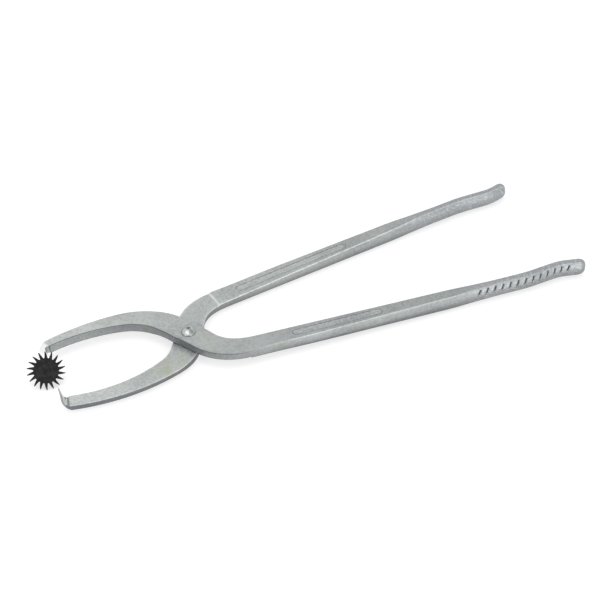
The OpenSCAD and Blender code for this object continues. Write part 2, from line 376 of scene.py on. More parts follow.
@dataclass(frozen=True)
class GripNotches:
    """Slanted notches pressed into the outer side of the grip.

    Attributes:
        last: Distance from the rivet to the notch nearest the end.
        count: Number of notches.
        pitch: Distance from notch to notch.
        half_width: Half the width of a notch at the surface.
        depth: Depth of a notch.
        slant: Forward run for each millimetre of height.
        across: Share of a distance along the grip that counts across the slanted notch.
        fullness: How much fuller than a plain V a notch is.
        foot: Where the notches begin in height.
        head: Where they end, just under the ridge.
    """

    last: float
    count: int = 13
    pitch: float = 5.0
    half_width: float = 0.78
    depth: float = 0.62
    slant: float = 0.6
    across: float = 0.9
    fullness: float = 0.6
    foot: Fade = Fade(0.5, 0.7)
    head: Fade = Fade(3.65, 0.5)

    def share(self, station: float, level: float) -> float:
        """Find how deep a point of the side lies in a notch.

        Args:
            station: Distance from the rivet.
            level: Level of the point.

        Returns:
            The depth from 0 to 1.
        """
        place = station - self.slant * (level - self.foot.start)
        number = min(self.count - 1, max(0, round((self.last - place) / self.pitch)))
        away = abs(place - (self.last - number * self.pitch)) * self.across
        groove = ramp(1 - away / self.half_width)
        return groove * mix(1 + self.fullness, 1.0, groove) * self.foot.at(level) * self.head.left(level)


@dataclass(frozen=True)
class ShadeAndWearRun:
    """How far a half is darkened along it, from 0 for none to 1 for full: painted shade
    down its sides and in lines along some edges, and darker stretches on its faces.

    Attributes:
        stations: Distances from the rivet, negative along the jaw.
        face: Darkening share on the flat faces.
        upper: Share of painted shade on the sides, next to the face that shows above.
        lower: Share of painted shade on the sides, at their lower edge.
        edge: How bright the edges are rubbed, as wear and partly a painted highlight, or below 0
            how dark a painted shade line runs along them.
        beside: Share of an edge's tone that the rows beside it take.
        power: More than 1 where the sides stay like their upper share for longer.
    """

    stations: tuple[float, ...] = (-88.0, -45.0, 8.0, 30.0, 70.0, 240.0)
    face: tuple[float, ...] = (0.0, 0.27, 0.42, 0.48, 0.60, 0.62)
    upper: tuple[float, ...] = (0.56, 0.88, 0.95, 0.62, 0.35, 0.35)
    lower: tuple[float, ...] = (0.48, 0.80, 0.92, 0.60, 0.95, 1.0)
    edge: tuple[float, ...] = (-0.8, -0.8, -1.0, -0.8, 0.4, 0.35)
    beside: float = 0.55
    power: float = 1.5

    def shares(self, s: float, depth: Array, edge: Array, side: Array) -> Array:
        """Find each row's shares.

        Args:
            s: Station of the section.
            depth: 0 at the upper edge of the sides, 1 at the lower.
            edge: 1 in the middle of a rounded edge, 0 away from the edges.
            side: 0 on the faces, 1 on the sides.

        Returns:
            Rows of the worn share, below 0 a painted shade line, and of the dull share, painted
            shade on the sides and darkening on the faces.
        """
        edge = np.maximum(edge, self.beside * np.maximum(np.roll(edge, 1), np.roll(edge, -1)))
        runs = (self.face, self.upper, self.lower, self.edge)
        face, upper, lower, worn = (float(np.interp(s, self.stations, run)) for run in runs)
        return np.stack([edge * worn, mix(face, mix(upper, lower, depth**self.power), side)], axis=1)


@dataclass(frozen=True)
class WheelPlace:
    """Where the toothed wheel stands on the star half.

    Attributes:
        centre: The wheel's middle.
        lean: Rise of its axis over the meeting plane, in degrees.
        turn: Turn of its axis away from square to the tool, in degrees.
        thickness: Thickness of the wheel.
        gap: Gap between its faces and its neighbours.
        pad_thickness: Thickness of the pad behind it.
        seat_cut: Depth of the flat seat behind the pad.
    """

    centre: Array = field(default_factory=lambda: np.array([-83.1745, 6.8056, 2.2]))
    lean: float = 42.0
    turn: float = 10.0
    thickness: float = 2.0
    gap: float = 0.08
    pad_thickness: float = 3.0
    seat_cut: float = 0.1

    @property
    def axis(self) -> Array:
        """Return the wheel's axis, towards its front."""
        lean, turn = math.radians(self.lean), math.radians(self.turn)
        return np.array([-math.cos(lean) * math.sin(turn), -math.cos(lean) * math.cos(turn), math.sin(lean)])

    @property
    def side(self) -> Array:
        """Return the level direction across the wheel."""
        turn = math.radians(self.turn)
        return np.array([math.cos(turn), -math.sin(turn), 0.0])

    @property
    def up(self) -> Array:
        """Return the direction up the wheel's face."""
        return np.cross(self.axis, self.side)

    @property
    def front_seat(self) -> float:
        """Return the level of the front head's seat along the axis."""
        return self.thickness / 2 + self.gap

    @property
    def pad_drop(self) -> float:
        """Return the distance from the wheel's middle back to the pad's middle."""
        return self.front_seat + self.pad_thickness / 2

    @property
    def rear_seat(self) -> float:
        """Return the level of the rear head's seat along the axis."""
        return self.seat_cut - self.pad_drop - self.pad_thickness / 2

    @property
    def matrix(self) -> Matrix:
        """Set up the wheel's own frame.

        Returns:
            The matrix from the wheel's frame to the tool, in metres.
        """
        rows = np.eye(4)
        rows[:3, 0], rows[:3, 1], rows[:3, 2] = self.side, self.up, self.axis
        rows[:3, 3] = self.centre * MM
        return Matrix(rows.tolist())


# Forged levers

# The sunk share of a panel's field, by which the finish tells it from a notch, with up to 1.
PANEL_SHARE = 0.3


@dataclass
class ForgedLever:
    """One drop-forged half: tip, bowed jaw, joint, neck and notched handle.

    The half lies with its meeting face on z = 0, its jaw towards -X and its handle towards
    +X. Sizes are in millimetres and angles in degrees. A Fade runs over the distance from
    the rivet.

    Attributes:
        name: Name of the piece.
        half: Which half it is.
        jaw_root: Straight run of the jaw at the rivet.
        root_radius: Radius of the bend after it.
        root_turn: Turn of that bend.
        bow_radius: Radius of the bow.
        reach: Distance along the jaw at which the tip starts.
        tip_width: Width of the jaw there.
        swell_start: Distance at which the jaw starts to taper.
        swell_power: More than 1 where it tapers faster at first.
        panel: The sunk panel in the handle.
        end_less: How much shorter the handle is than its runs make it.
        thickness: Thickness of the jaw and the joint.
        joint_width: Width at the joint.
        joint_swell: How much wider the jaw is there.
        shoulder: Radius of the shoulder beside the rivet.
        joint_heading: Direction of the jaw at the rivet.
        draft: Draft of the forging's sides.
        flat_draft: Draft beside the rivet, where the sides stand almost square.
        edge_round: Rounding of the upper edges.
        mate_round: Rounding of the edges at the meeting face.
        parting: Level of the parting line.
        jaw_draft: How the draft grows along the jaw.
        jaw_lean: How far the jaw stands towards the other jaw, fading along it.
        jaw_lean_start: How that shift comes in beside the rivet.
        neck_straight: Straight run of the handle at the rivet.
        neck_radius: Radius of the neck's bend.
        neck_turn: Turn of that bend.
        neck_width: Width at the neck's end.
        neck_trim: How much slimmer the neck is on its outer side.
        neck_trim_end: How that ends along the handle.
        outer_draft: Share of the draft on the handle's outer side.
        inner_drafts: Shares of the draft on its inner side, one after the other.
        riser: Height of the step in the underside behind the neck.
        riser_lead: How far before the neck's end it starts.
        riser_run: Length of the step.
        riser_shine: Painted highlight along the hook half's step, by the distance from its middle.
        straight: Straight run of the handle.
        grip_width: Width of the grip.
        grip_height: Height of the grip.
        grip_flat: Width of the flats on its top and underside.
        grip_lead: How far before the palm's bend the grip has its full size.
        grip_blend: Length over which the forged section turns into the grip's.
        grip_power: Rounding of the grip's sides, as a power.
        under_lag: How much later the underside comes down to the grip's full height.
        under_land: Height of the upright land below the parting line.
        palm_bend: Length of the bend into the palm.
        palm_turn: Turn of that bend.
        palm_rest: Straight run after it.
        flare_bend: Length of the bend at the end.
        flare_turn: Turn of that bend.
        flare_length: Straight run after it.
        end_extra: How much longer the end's rounding is than half the grip's width.
        end_cut: Angle at which the solid's rounded end is cut flat.
        notch_last: Distance from the palm's bend to the last notch.
        notched: The stretch that holds the notches, from the palm's bend.
        dull: How far the half is darkened: painted shade on its sides and edges, darker stretches
            on its faces.
        far_edge: Share of an edge's painted shade line on the side away from the other jaw.
        side_depth: How much faster than evenly the sides reach their lower painted shade.
        highlight_on_sides: Share of the tip's painted highlight on its sides.
    """

    name: str
    half: Half
    jaw_root: float
    root_radius: float
    root_turn: float
    bow_radius: float
    reach: float
    tip_width: float
    swell_start: float
    swell_power: float
    panel: SunkPanel
    end_less: float = 0.0
    thickness: float = 4.5
    joint_width: float = 15.8
    joint_swell: float = 0.2
    shoulder: float = 9.6
    joint_heading: float = 118.3
    draft: float = 15.0
    flat_draft: float = 2.0
    edge_round: float = 0.42
    mate_round: float = 0.36
    parting: float = 0.65
    jaw_draft: Fade = Fade(12.0, 14.0)
    jaw_lean: Fade = Fade(0.0, 26.0, 0.6)
    jaw_lean_start: Fade = Fade(0.0, 4.0)
    neck_straight: float = 12.5
    neck_radius: float = 26.0
    neck_turn: float = 56.4
    neck_width: float = 13.8
    neck_trim: Fade = Fade(14.0, 20.0, 0.6)
    neck_trim_end: Fade = Fade(46.0, 40.0)
    outer_draft: Fade = Fade(34.0, 20.0, 0.75)
    inner_drafts: tuple[Fade, Fade] = (Fade(5.0, 10.0, 0.4), Fade(32.0, 14.0, 0.45))
    riser: float = 0.7
    riser_lead: float = 0.6
    riser_run: float = 0.9
    riser_shine: Fade = Fade(0.25, 0.5, 0.5)
    straight: float = 170.0
    grip_width: float = 8.5
    grip_height: float = 9.8
    grip_flat: float = 3.4
    grip_lead: float = 30.0
    grip_blend: float = 36.0
    grip_power: float = 2.2
    under_lag: float = 8.0
    under_land: float = 0.5
    palm_bend: float = 11.0
    palm_turn: float = 6.5
    palm_rest: float = 13.0
    flare_bend: float = 9.0
    flare_turn: float = 17.0
    flare_length: float = 12.0
    end_extra: float = 0.6
    end_cut: float = 74.0
    notch_last: float = 32.0
    notched: tuple[float, float] = (-32.0, 38.0)
    dull: ShadeAndWearRun = ShadeAndWearRun()
    far_edge: float = 0.3
    side_depth: float = 1.15
    highlight_on_sides: float = 0.0

    def __post_init__(self) -> None:
        """Work out the middle lines and the stations that follow from the sizes."""
        root = self.root_radius * math.radians(self.root_turn)
        bow = math.degrees(self.reach / self.bow_radius)
        jaw = (Run(self.jaw_root), Run(root, self.root_turn), Run(self.reach, bow))
        self.jaw_line = MiddleLine(self.joint_heading, jaw)
        neck = self.neck_radius * math.radians(self.neck_turn)
        handle = (
            Run(self.neck_straight),
            Run(neck, self.neck_turn),
            Run(self.straight),
            Run(self.palm_bend, self.palm_turn),
            Run(self.palm_rest),
            Run(self.flare_bend, -self.flare_turn),
            Run(self.flare_length),
        )
        self.handle_line = MiddleLine(self.joint_heading + 180, handle)
        self.neck_end = self.neck_straight + neck
        self.riser_at = self.neck_end - self.riser_lead
        self.palm_start = self.neck_end + self.straight
        self.grip_start = self.palm_start - self.grip_lead
        self.notches = GripNotches(self.palm_start + self.notch_last)
        self.end_round = self.grip_width / 2 + self.end_extra
        palm_end = self.palm_start + (self.palm_bend + self.palm_rest)
        self.end = palm_end + self.flare_bend + self.flare_length - self.end_less
        self.end -= self.end_round * (1 - math.sin(math.radians(self.end_cut)))

    def jaw_half(self, s: float) -> float:
        """Return the half width of the jaw at a distance from the rivet."""
        share = (1 - ramp((s - self.swell_start) / (self.reach - self.swell_start))) ** self.swell_power
        return mix(self.tip_width, self.joint_width + self.joint_swell, share) / 2

    def handle_half(self, s: float) -> float:
        """Find the half width of the handle.

        Args:
            s: Distance from the rivet.

        Returns:
            The half width in millimetres.
        """
        if s < self.neck_end:
            share = ramp((s - self.neck_straight) / (self.neck_end - self.neck_straight))
            return mix(self.joint_width, self.neck_width, share) / 2
        share = ramp((s - self.neck_end) / (self.grip_start - self.neck_end))
        return mix(self.neck_width, self.grip_width, share) / 2

    def under_level(self, s: float) -> float:
        """Find the level of the handle's underside.

        Args:
            s: Distance from the rivet.

        Returns:
            The level in millimetres.
        """
        fall = ramp((s - self.riser_at) / (self.grip_start + self.under_lag - self.riser_at))
        step = self.riser * ease((s - self.riser_at) / self.riser_run)
        return -step - (self.grip_height / 2 - self.riser) * fall

    def top_level(self, s: float) -> float:
        """Return the level of the handle's top."""
        share = ramp((s - self.riser_at) / (self.grip_start - self.riser_at))
        return mix(self.thickness, self.grip_height / 2, share)

    def bar(self, widths: tuple[float, float], slope: float, height: float) -> Array:
        """Draw the section of a flat bar, whose insets and roundings a thin bar cuts short.

        Args:
            widths: Half widths on the positive and on the negative side.
            slope: Draft of both sides, in degrees.
            height: Thickness of the bar.

        Returns:
            The closed section's rows.
        """
        sides = []
        for width in widths:
            inset = min(height * math.tan(math.radians(slope)), 0.5 * width)
            low, high = min(self.mate_round, 0.45 * width), min(self.edge_round, 0.45 * width)
            sides.append(Flank(width, 0.0, self.parting, height, 0.0, inset, 1.0, low, high))
        return closed_section(*sides)

    def jaw_section(self, s: float) -> Array:
        """Draw the jaw's section; the shoulder bulges at its back beside the rivet.

        Args:
            s: Distance from the rivet.

        Returns:
            The closed section's rows, with the jaw's back on the negative side.
        """
        width = self.jaw_half(s)
        lean = self.jaw_lean.left(s) * self.jaw_lean_start.at(s)
        back = width - lean
        if s < self.shoulder:
            back = max(back, math.sqrt(self.shoulder**2 - s * s))
        slope = mix(self.flat_draft, self.draft, self.jaw_draft.at(s))
        return self.bar((width + lean, back), slope, self.thickness)

    def handle_section(self, s: float) -> Array:
        """Draw the handle's section, shrunk towards the rounded end.

        Args:
            s: Distance from the rivet.

        Returns:
            The closed section's rows, with the handle's outer side on the positive side.
        """
        grip = ease((s - self.grip_start + self.grip_blend / 2) / self.grip_blend)
        t = ramp((s - self.end + self.end_round) / self.end_round)
        narrow, flat = math.sqrt(1 - t * t), (1 - t * t) ** 0.25
        under, top = self.under_level(s) * flat, self.top_level(s) * flat
        parting = mix(self.parting, 0.0, ramp((s - self.riser_at) / self.riser_run))
        up, down = top - parting, max(0.0, parting - under - self.under_land)
        width = self.handle_half(s)
        outer = (width - self.neck_trim.at(s) * self.neck_trim_end.left(s)) * narrow
        inner = width * narrow
        if s < self.shoulder:
            inner = max(width, math.sqrt(self.shoulder**2 - s * s))
        slope_out = self.draft * self.outer_draft.at(s)
        slope_in = self.flat_draft + self.draft * sum(fade.at(s) for fade in self.inner_drafts)
        full = width - self.grip_flat / 2
        power, low, high = mix(1, self.grip_power, grip), self.mate_round, self.edge_round * mix(1, 0.5, grip)
        sides = []
        for half, slope in ((outer, slope_out), (inner, slope_in)):
            lean = math.tan(math.radians(slope))
            insets = (mix(down * lean, full, grip) * narrow, mix(up * lean, full, grip) * narrow)
            sides.append(Flank(half, under, parting, top, *insets, power, low * narrow, high * narrow))
        return closed_section(*sides)

    def flat_ring(self, s: float) -> Array:
        """Place the section at a station; jaw stations are negative.

        Args:
            s: Distance from the rivet, negative along the jaw.

        Returns:
            Rows of x, y, z and the worn, flank, sunk and highlight shares.
        """
        if s < 0:
            point, angle = self.jaw_line.walk(-s)
            side, rows = heading(angle + 90), self.jaw_section(-s)
            fields = np.zeros((len(rows), 2))
        else:
            point, angle = self.handle_line.walk(s)
            side, rows = heading(angle - 90), self.handle_section(s)
            fields = self.sunk(s, rows)
        place = point[None, :] + rows[:, 0:1] * side[None, :]
        return np.concatenate([place, rows[:, 1:2], self.toned(rows, s), fields], axis=1)

    def toned(self, rows: Array, s: float) -> Array:
        """Find how worn each row is, and how much painted shade or darkening it gets.

        Args:
            rows: The section's rows.
            s: Station of the section.

        Returns:
            Rows of the worn and the flank share; an edge below 0 gets a painted shade line
            instead of a rubbed bright one, and less so on the side away from the other jaw.
        """
        level = rows[:, 1] if self.half is Half.STAR else -rows[:, 1]
        depth = np.clip(self.side_depth * (level.max() - level) / (level.max() - level.min()), 0, 1)
        shares = self.dull.shares(s, depth, rows[:, 2], rows[:, 3])
        shares[(rows[:, 0] < 0) & (shares[:, 0] < 0), 0] *= self.far_edge
        return shares

    def sunk(self, s: float, rows: Array) -> Array:
        """Press the panel and the notches into a section.

        Args:
            s: Station of the section.
            rows: The section's rows, which are moved in place.

        Returns:
            Rows of the sunk and the highlight share.
        """
        fields = np.zeros((len(rows), 2))
        near_panel = self.panel.start - 1 < s < self.panel.start + self.panel.length + 1
        near_notch = self.notched[0] < s - self.palm_start < self.notched[1]
        for number, (offset, level, _edge, side) in enumerate(rows.copy()):
            if near_panel and side == 0.0 and level * self.panel.face.value >= 0:
                share = self.panel.share(s, offset)
                rows[number, 1] -= self.panel.face.value * self.panel.depth * share
                fields[number, 0] = PANEL_SHARE * share
            if near_notch and offset > 0 and level > 0:
                share = self.notches.share(s, level)
                rows[number, 0] -= self.notches.depth * share
                fields[number, 0] = max(fields[number, 0], share)
        # A painted highlight along the hook half's step.
        if self.half is Half.HOOK:
            underside = (rows[:, 1] < 0.3) & (rows[:, 3] < 0.5)
            fields[underside, 1] = self.riser_shine.left(abs(s - self.riser_at - self.riser_run / 2))
        return fields

    def held(self, rows: Array, middle: float, curve: tuple[Array, ...], ground: float, dull: float) -> Array:
        """Hold a section in space on a free curve.

        Args:
            rows: The section's rows.
            middle: Level of the section that lies on the curve.
            curve: The curve's point, the direction that the section faces and the wanted
                direction of its top.
            highlight: How strong the painted highlight on the tip's faces is there, from 0 to 1.
            dull: How much more painted shade it gets there than at the jaw's end, or below 0 how
                much painted highlight.

        Returns:
            Rows of x, y, z and the worn, flank, sunk and highlight shares.
        """
        point, along, normal = curve
        up = unit(normal - np.dot(normal, along) * along)
        side = np.cross(up, along)
        place = point + rows[:, 0:1] * side + (rows[:, 1:2] - middle) * up
        bright = ground * mix(1.0, self.highlight_on_sides, rows[:, 3:4])
        finish = self.toned(rows, -self.reach)
        finish[:, 1] = np.clip(finish[:, 1] + dull, 0, 1)
        return np.concatenate([place, finish, np.zeros_like(bright), bright], axis=1)

    def jaw_end(self) -> tuple[Array, Array]:
        """Return the point on which the tip is folded and the jaw's direction there."""
        end, angle = self.jaw_line.walk(self.reach)
        return lifted(end, self.thickness / 2), lifted(heading(angle), 0.0)

    def tip_rings(self) -> list[Array]:
        """Return the rings of the bent tip, from its free end to the jaw."""
        raise NotImplementedError

    def stations(self) -> list[float]:
        """Choose the stations, close together where the section changes.

        Returns:
            The stations from the jaw's end to the handle's end.
        """
        riser, palm, panel = self.riser_at, self.palm_start, self.panel
        first, last = palm + self.notched[0], palm + self.notched[1]
        jaw = np.concatenate([np.arange(self.reach, 12, -0.9), np.arange(12, 0.2, -0.45)])
        # Each band of stations runs from its first number to its second, in steps of the third.
        bands = [
            (0.3, 14, 0.45),
            (14, riser - 0.6, 0.9),
            (riser - 0.6, riser + 1.6, 0.15),
            (riser + 1.6, first, 1.2),
            (panel.start - 3.0, panel.start + 3.0, 0.3),
            (panel.start + panel.length - 3.0, panel.start + panel.length + 3.0, 0.3),
            (first, last, 0.22),
            (last, self.end - self.end_round, 0.6),
        ]
        turn = np.radians(np.arange(0, 89, 6.0))
        marks = [np.arange(*band) for band in bands] + [self.end - self.end_round * (1 - np.sin(turn))]
        handle = np.unique(np.round(np.concatenate(marks), 3))
        keep = np.concatenate([[True], np.diff(handle) > 0.08])
        return [-float(s) for s in jaw] + [float(s) for s in handle[keep] if s < self.end - 0.002]

    def placed(self, points: Array) -> Array:
        """Move points from the lying forging to the tool."""
        return points

    def build(self) -> Object:
        """Skin the forging and drill its bores.

        Returns:
            The forging as a mesh object in metres.
        """
        rings = self.tip_rings() + [self.flat_ring(s) for s in self.stations()]
        rings = [np.concatenate([self.placed(ring[:, :3]), ring[:, 3:]], axis=1) for ring in rings]
        piece = Skin(self.name, rings).build()
        for cutter in self.cutters():
            drill(piece, cutter)
        smooth(piece, 32.0)
        return piece

    def cutters(self) -> list[Object]:
        """Return the cutters of the bores."""
        return []


@dataclass
class StarLever(ForgedLever):
    """The half whose jaw ends in the round pad behind the toothed wheel.

    Here a Fade runs over the arm's share, from 0 at the jaw to 1 at the pad.

    Attributes:
        wheel: Where the wheel stands.
        pad_radius: Radius of the pad.
        pad_tilt: Turn of the arm's end away from straight down the pad, in degrees.
        handles: How far its curve is drawn out ahead of the jaw and before the pad.
        waist: How far the arm is drawn in between, on its positive and its negative side.
        waist_end: Share of the arm at which the waist has ended.
        widening: How the arm widens to the pad.
        arm_draft: How its draft is lost.
        highlight_rise: How its painted highlight comes in.
        shine: How much painted highlight it gets over the jaw's tone.
        bore: Bore of the joint.
        hole: Hole for the wheel's rivet.
        seat_width: Width of the flat seat of its rear head.
    """

    wheel: WheelPlace = field(default_factory=WheelPlace)
    pad_radius: float = 4.2
    pad_tilt: float = 8.0
    handles: tuple[float, float] = (6.5, 8.0)
    waist: tuple[float, float] = (1.8, 2.0)
    waist_end: float = 0.8
    widening: Fade = Fade(0.2857, 0.7143)
    arm_draft: Fade = Fade(0.0, 0.6667)
    highlight_rise: Fade = Fade(0.0333, 0.1111)
    shine: Fade = Fade(0.0, 0.2, 0.4)
    bore: float = 5.7
    hole: float = 3.4
    seat_width: float = 5.8

    def tip_rings(self) -> list[Array]:
        """Lay the rings from the pad's free end up the arm to the jaw.

        Returns:
            The rings.
        """
        wheel, (fold, ahead) = self.wheel, self.jaw_end()
        pad = wheel.centre - wheel.pad_drop * wheel.axis
        tilt = math.radians(self.pad_tilt)
        down = -math.cos(tilt) * wheel.up - math.sin(tilt) * wheel.side
        curve = FreeCurve((fold, fold + self.handles[0] * ahead, pad - self.handles[1] * down, pad))
        rings = []
        for turn in np.radians(np.arange(86, 1, -6.0)):
            rows = self.arm_section(self.pad_radius * math.cos(turn), 1.0)
            place = (pad + self.pad_radius * math.sin(turn) * down, down, wheel.axis)
            # The pad gets the full painted highlight and less darkening than the jaw.
            rings.append(self.held(rows, wheel.pad_thickness / 2, place, 1.0, -self.shine.amount))
        for share in np.linspace(1.0, 0.02, 44):
            rows = self.arm_section(mix(self.tip_width / 2, self.pad_radius, self.widening.at(share)), share)
            middle = mix(self.thickness, wheel.pad_thickness, ease(share)) / 2
            place = (curve.at(share), curve.direction(share), mix(UPWARD, wheel.axis, ease(share)))
            # Along the arm the painted highlight comes in and the darkening eases towards the pad.
            rings.append(self.held(rows, middle, place, self.highlight_rise.at(share), -self.shine.at(share)))
        return rings

    def arm_section(self, width: float, share: float) -> Array:
        """Draw the arm's section.

        Args:
            width: Its half width before the waist is drawn in.
            share: Share of the way to the pad.

        Returns:
            The closed section's rows.
        """
        waist = math.sin(math.pi * ramp(share / self.waist_end))
        height = mix(self.thickness, self.wheel.pad_thickness, ease(share))
        slope = self.draft * self.arm_draft.left(share)
        return self.bar((width - self.waist[0] * waist, width - self.waist[1] * waist), slope, height)

    def cutters(self) -> list[Object]:
        """Make the cutters of the joint's bore and of the wheel rivet's hole and seat.

        Returns:
            The cutters, longer than what they cut.
        """
        through, seat = 2 * self.thickness, self.wheel.rear_seat
        joint = plug("cut_joint", self.bore / 2, -through, through, 64)
        hole = plug("cut_wheel", self.hole / 2, -8, 6, 48)
        flat = plug("cut_seat", self.seat_width / 2, seat - 1, seat, 48)
        for cutter in (hole, flat):
            cutter.data.transform(self.wheel.matrix)
        return [joint, hole, flat]


@dataclass
class HookLever(ForgedLever):
    """The half whose jaw is drawn out into the bent point.

    Here a Fade runs over the hook's share, from 0 at the jaw to 1 at the point.

    Attributes:
        point_ahead: How far the point stands ahead of the fold.
        point_inward: How far it stands towards the other jaw.
        point_rise: How far it rises above the meeting face.
        point_width: Width of the point.
        point_height: Height of the point.
        shrinking: How soon the hook's width and its height shrink to them, as powers.
        point_heading: Direction in which it points, before it is set to length 1.
        turned_out: Direction to which the hook's top has turned at the point.
        handles: How far its curve is drawn out ahead of the jaw and behind the point.
        twist: How the hook's top turns from upward to outward.
        squaring: How its sections turn from the jaw's direction to the curve's own.
        heel: How much fuller the fold's outer corner is.
        heel_end: Share of the hook at which that has ended.
        highlight_rise: How the hook's painted highlight comes in.
        fold_shade: How strong the painted shade on the fold is.
        fold_shade_end: How that ends.
        shine: How much painted highlight the hook gets over the jaw's tone.
        bend_shade_start: How a painted shade mark along one side of the bend starts.
        bend_shade_end: How it ends.
        face_gap: Gap between the two halves.
        bore: Bore of the joint.
        seat: Width of the flared seat of the rivet's closing head.
        seat_depth: Depth of that seat.
    """

    point_ahead: float = 3.7
    point_inward: float = 9.1
    point_rise: float = 3.0
    point_width: float = 1.1
    point_height: float = 0.99
    shrinking: tuple[float, float] = (1.5, 1.2)
    point_heading: Place = (0.0, -0.85, -0.5)
    turned_out: Place = (-0.96, -0.1, 0.26)
    handles: tuple[float, float] = (3.4, 6.0)
    twist: Fade = Fade(0.1667, 0.6667)
    squaring: Fade = Fade(0.1, 0.65)
    heel: float = 0.8
    heel_end: float = 0.75
    highlight_rise: Fade = Fade(0.475, 0.25, 0.9)
    fold_shade: Fade = Fade(0.0444, 0.1111, 0.85)
    fold_shade_end: Fade = Fade(0.2111, 0.1111)
    shine: Fade = Fade(0.2, 0.1667, 0.35)
    bend_shade_start: Fade = Fade(0.36, 0.08, 0.9)
    bend_shade_end: Fade = Fade(0.6, 0.14)
    face_gap: float = 0.08
    bore: float = 5.6
    seat: float = 8.0
    seat_depth: float = 1.3

    def tip_rings(self) -> list[Array]:
        """Lay the rings from the point back to the jaw.

        Returns:
            The rings.
        """
        fold, ahead = self.jaw_end()
        tip = np.array([fold[0] - self.point_ahead, fold[1] - self.point_inward, -self.point_rise])
        back = self.handles[1] * unit(np.array(self.point_heading))
        curve = FreeCurve((fold, fold + self.handles[0] * ahead, tip - back, tip))
        rings = []
        for share in np.linspace(1.0, 0.02, 52):
            rows, height = self.hook_section(share)
            facing = unit(mix(ahead, curve.direction(share), self.squaring.at(share)))
            place = (curve.at(share), facing, mix(UPWARD, np.array(self.turned_out), self.twist.at(share)))
            # Painted shade on the fold, less the painted highlight along the hook.
            dull = self.fold_shade.at(share) * self.fold_shade_end.left(share) - self.shine.at(share)
            ring = self.held(rows, height / 2, place, self.highlight_rise.at(share), dull)
            # A painted shade mark along one side of the bend, which takes the highlight away there.
            bend_shade = (rows[:, 0] > 0) * self.bend_shade_start.at(share) * self.bend_shade_end.left(share)
            ring[:, 5] = bend_shade
            ring[:, 6] *= 1 - bend_shade
            rings.append(ring)
        return rings

    def hook_section(self, share: float) -> tuple[Array, float]:
        """Draw the hook's section, fuller at the fold's outer corner.

        Args:
            share: Share of the way to the point.

        Returns:
            The closed section's rows and its height.
        """
        width = mix(self.point_width, self.tip_width, (1 - share) ** self.shrinking[0]) / 2
        height = mix(self.point_height, self.thickness, (1 - share) ** self.shrinking[1])
        rounding = min(self.edge_round, height / 4)
        inset = min(width * 0.4, height * math.tan(math.radians(self.draft)))
        flank = Flank(width, 0.0, height * 0.4, height, 0.0, inset, 1.0, rounding * 0.6, rounding)
        heel = self.heel * math.sin(math.pi * ramp(share / self.heel_end))
        return closed_section(flank, replace(flank, width=width + heel)), height

    def placed(self, points: Array) -> Array:
        """Turn the forging over and set it just under the other half."""
        return points * np.array([1.0, -1.0, -1.0]) - np.array([0.0, 0.0, self.face_gap])

    def cutters(self) -> list[Object]:
        """Make the cutter of the joint's bore with its flared seat.

        Returns:
            The cutter, longer than what it cuts.
        """
        low, wide, narrow = -self.thickness - self.face_gap, self.seat / 2, self.bore / 2
        flare = [(0, low - 1), (wide, low - 1), (wide, low), (narrow, low + self.seat_depth)]
        return [turned("cut_joint", flare + [(narrow, 4), (0, 4)], 64)]


# Wheel and rivets


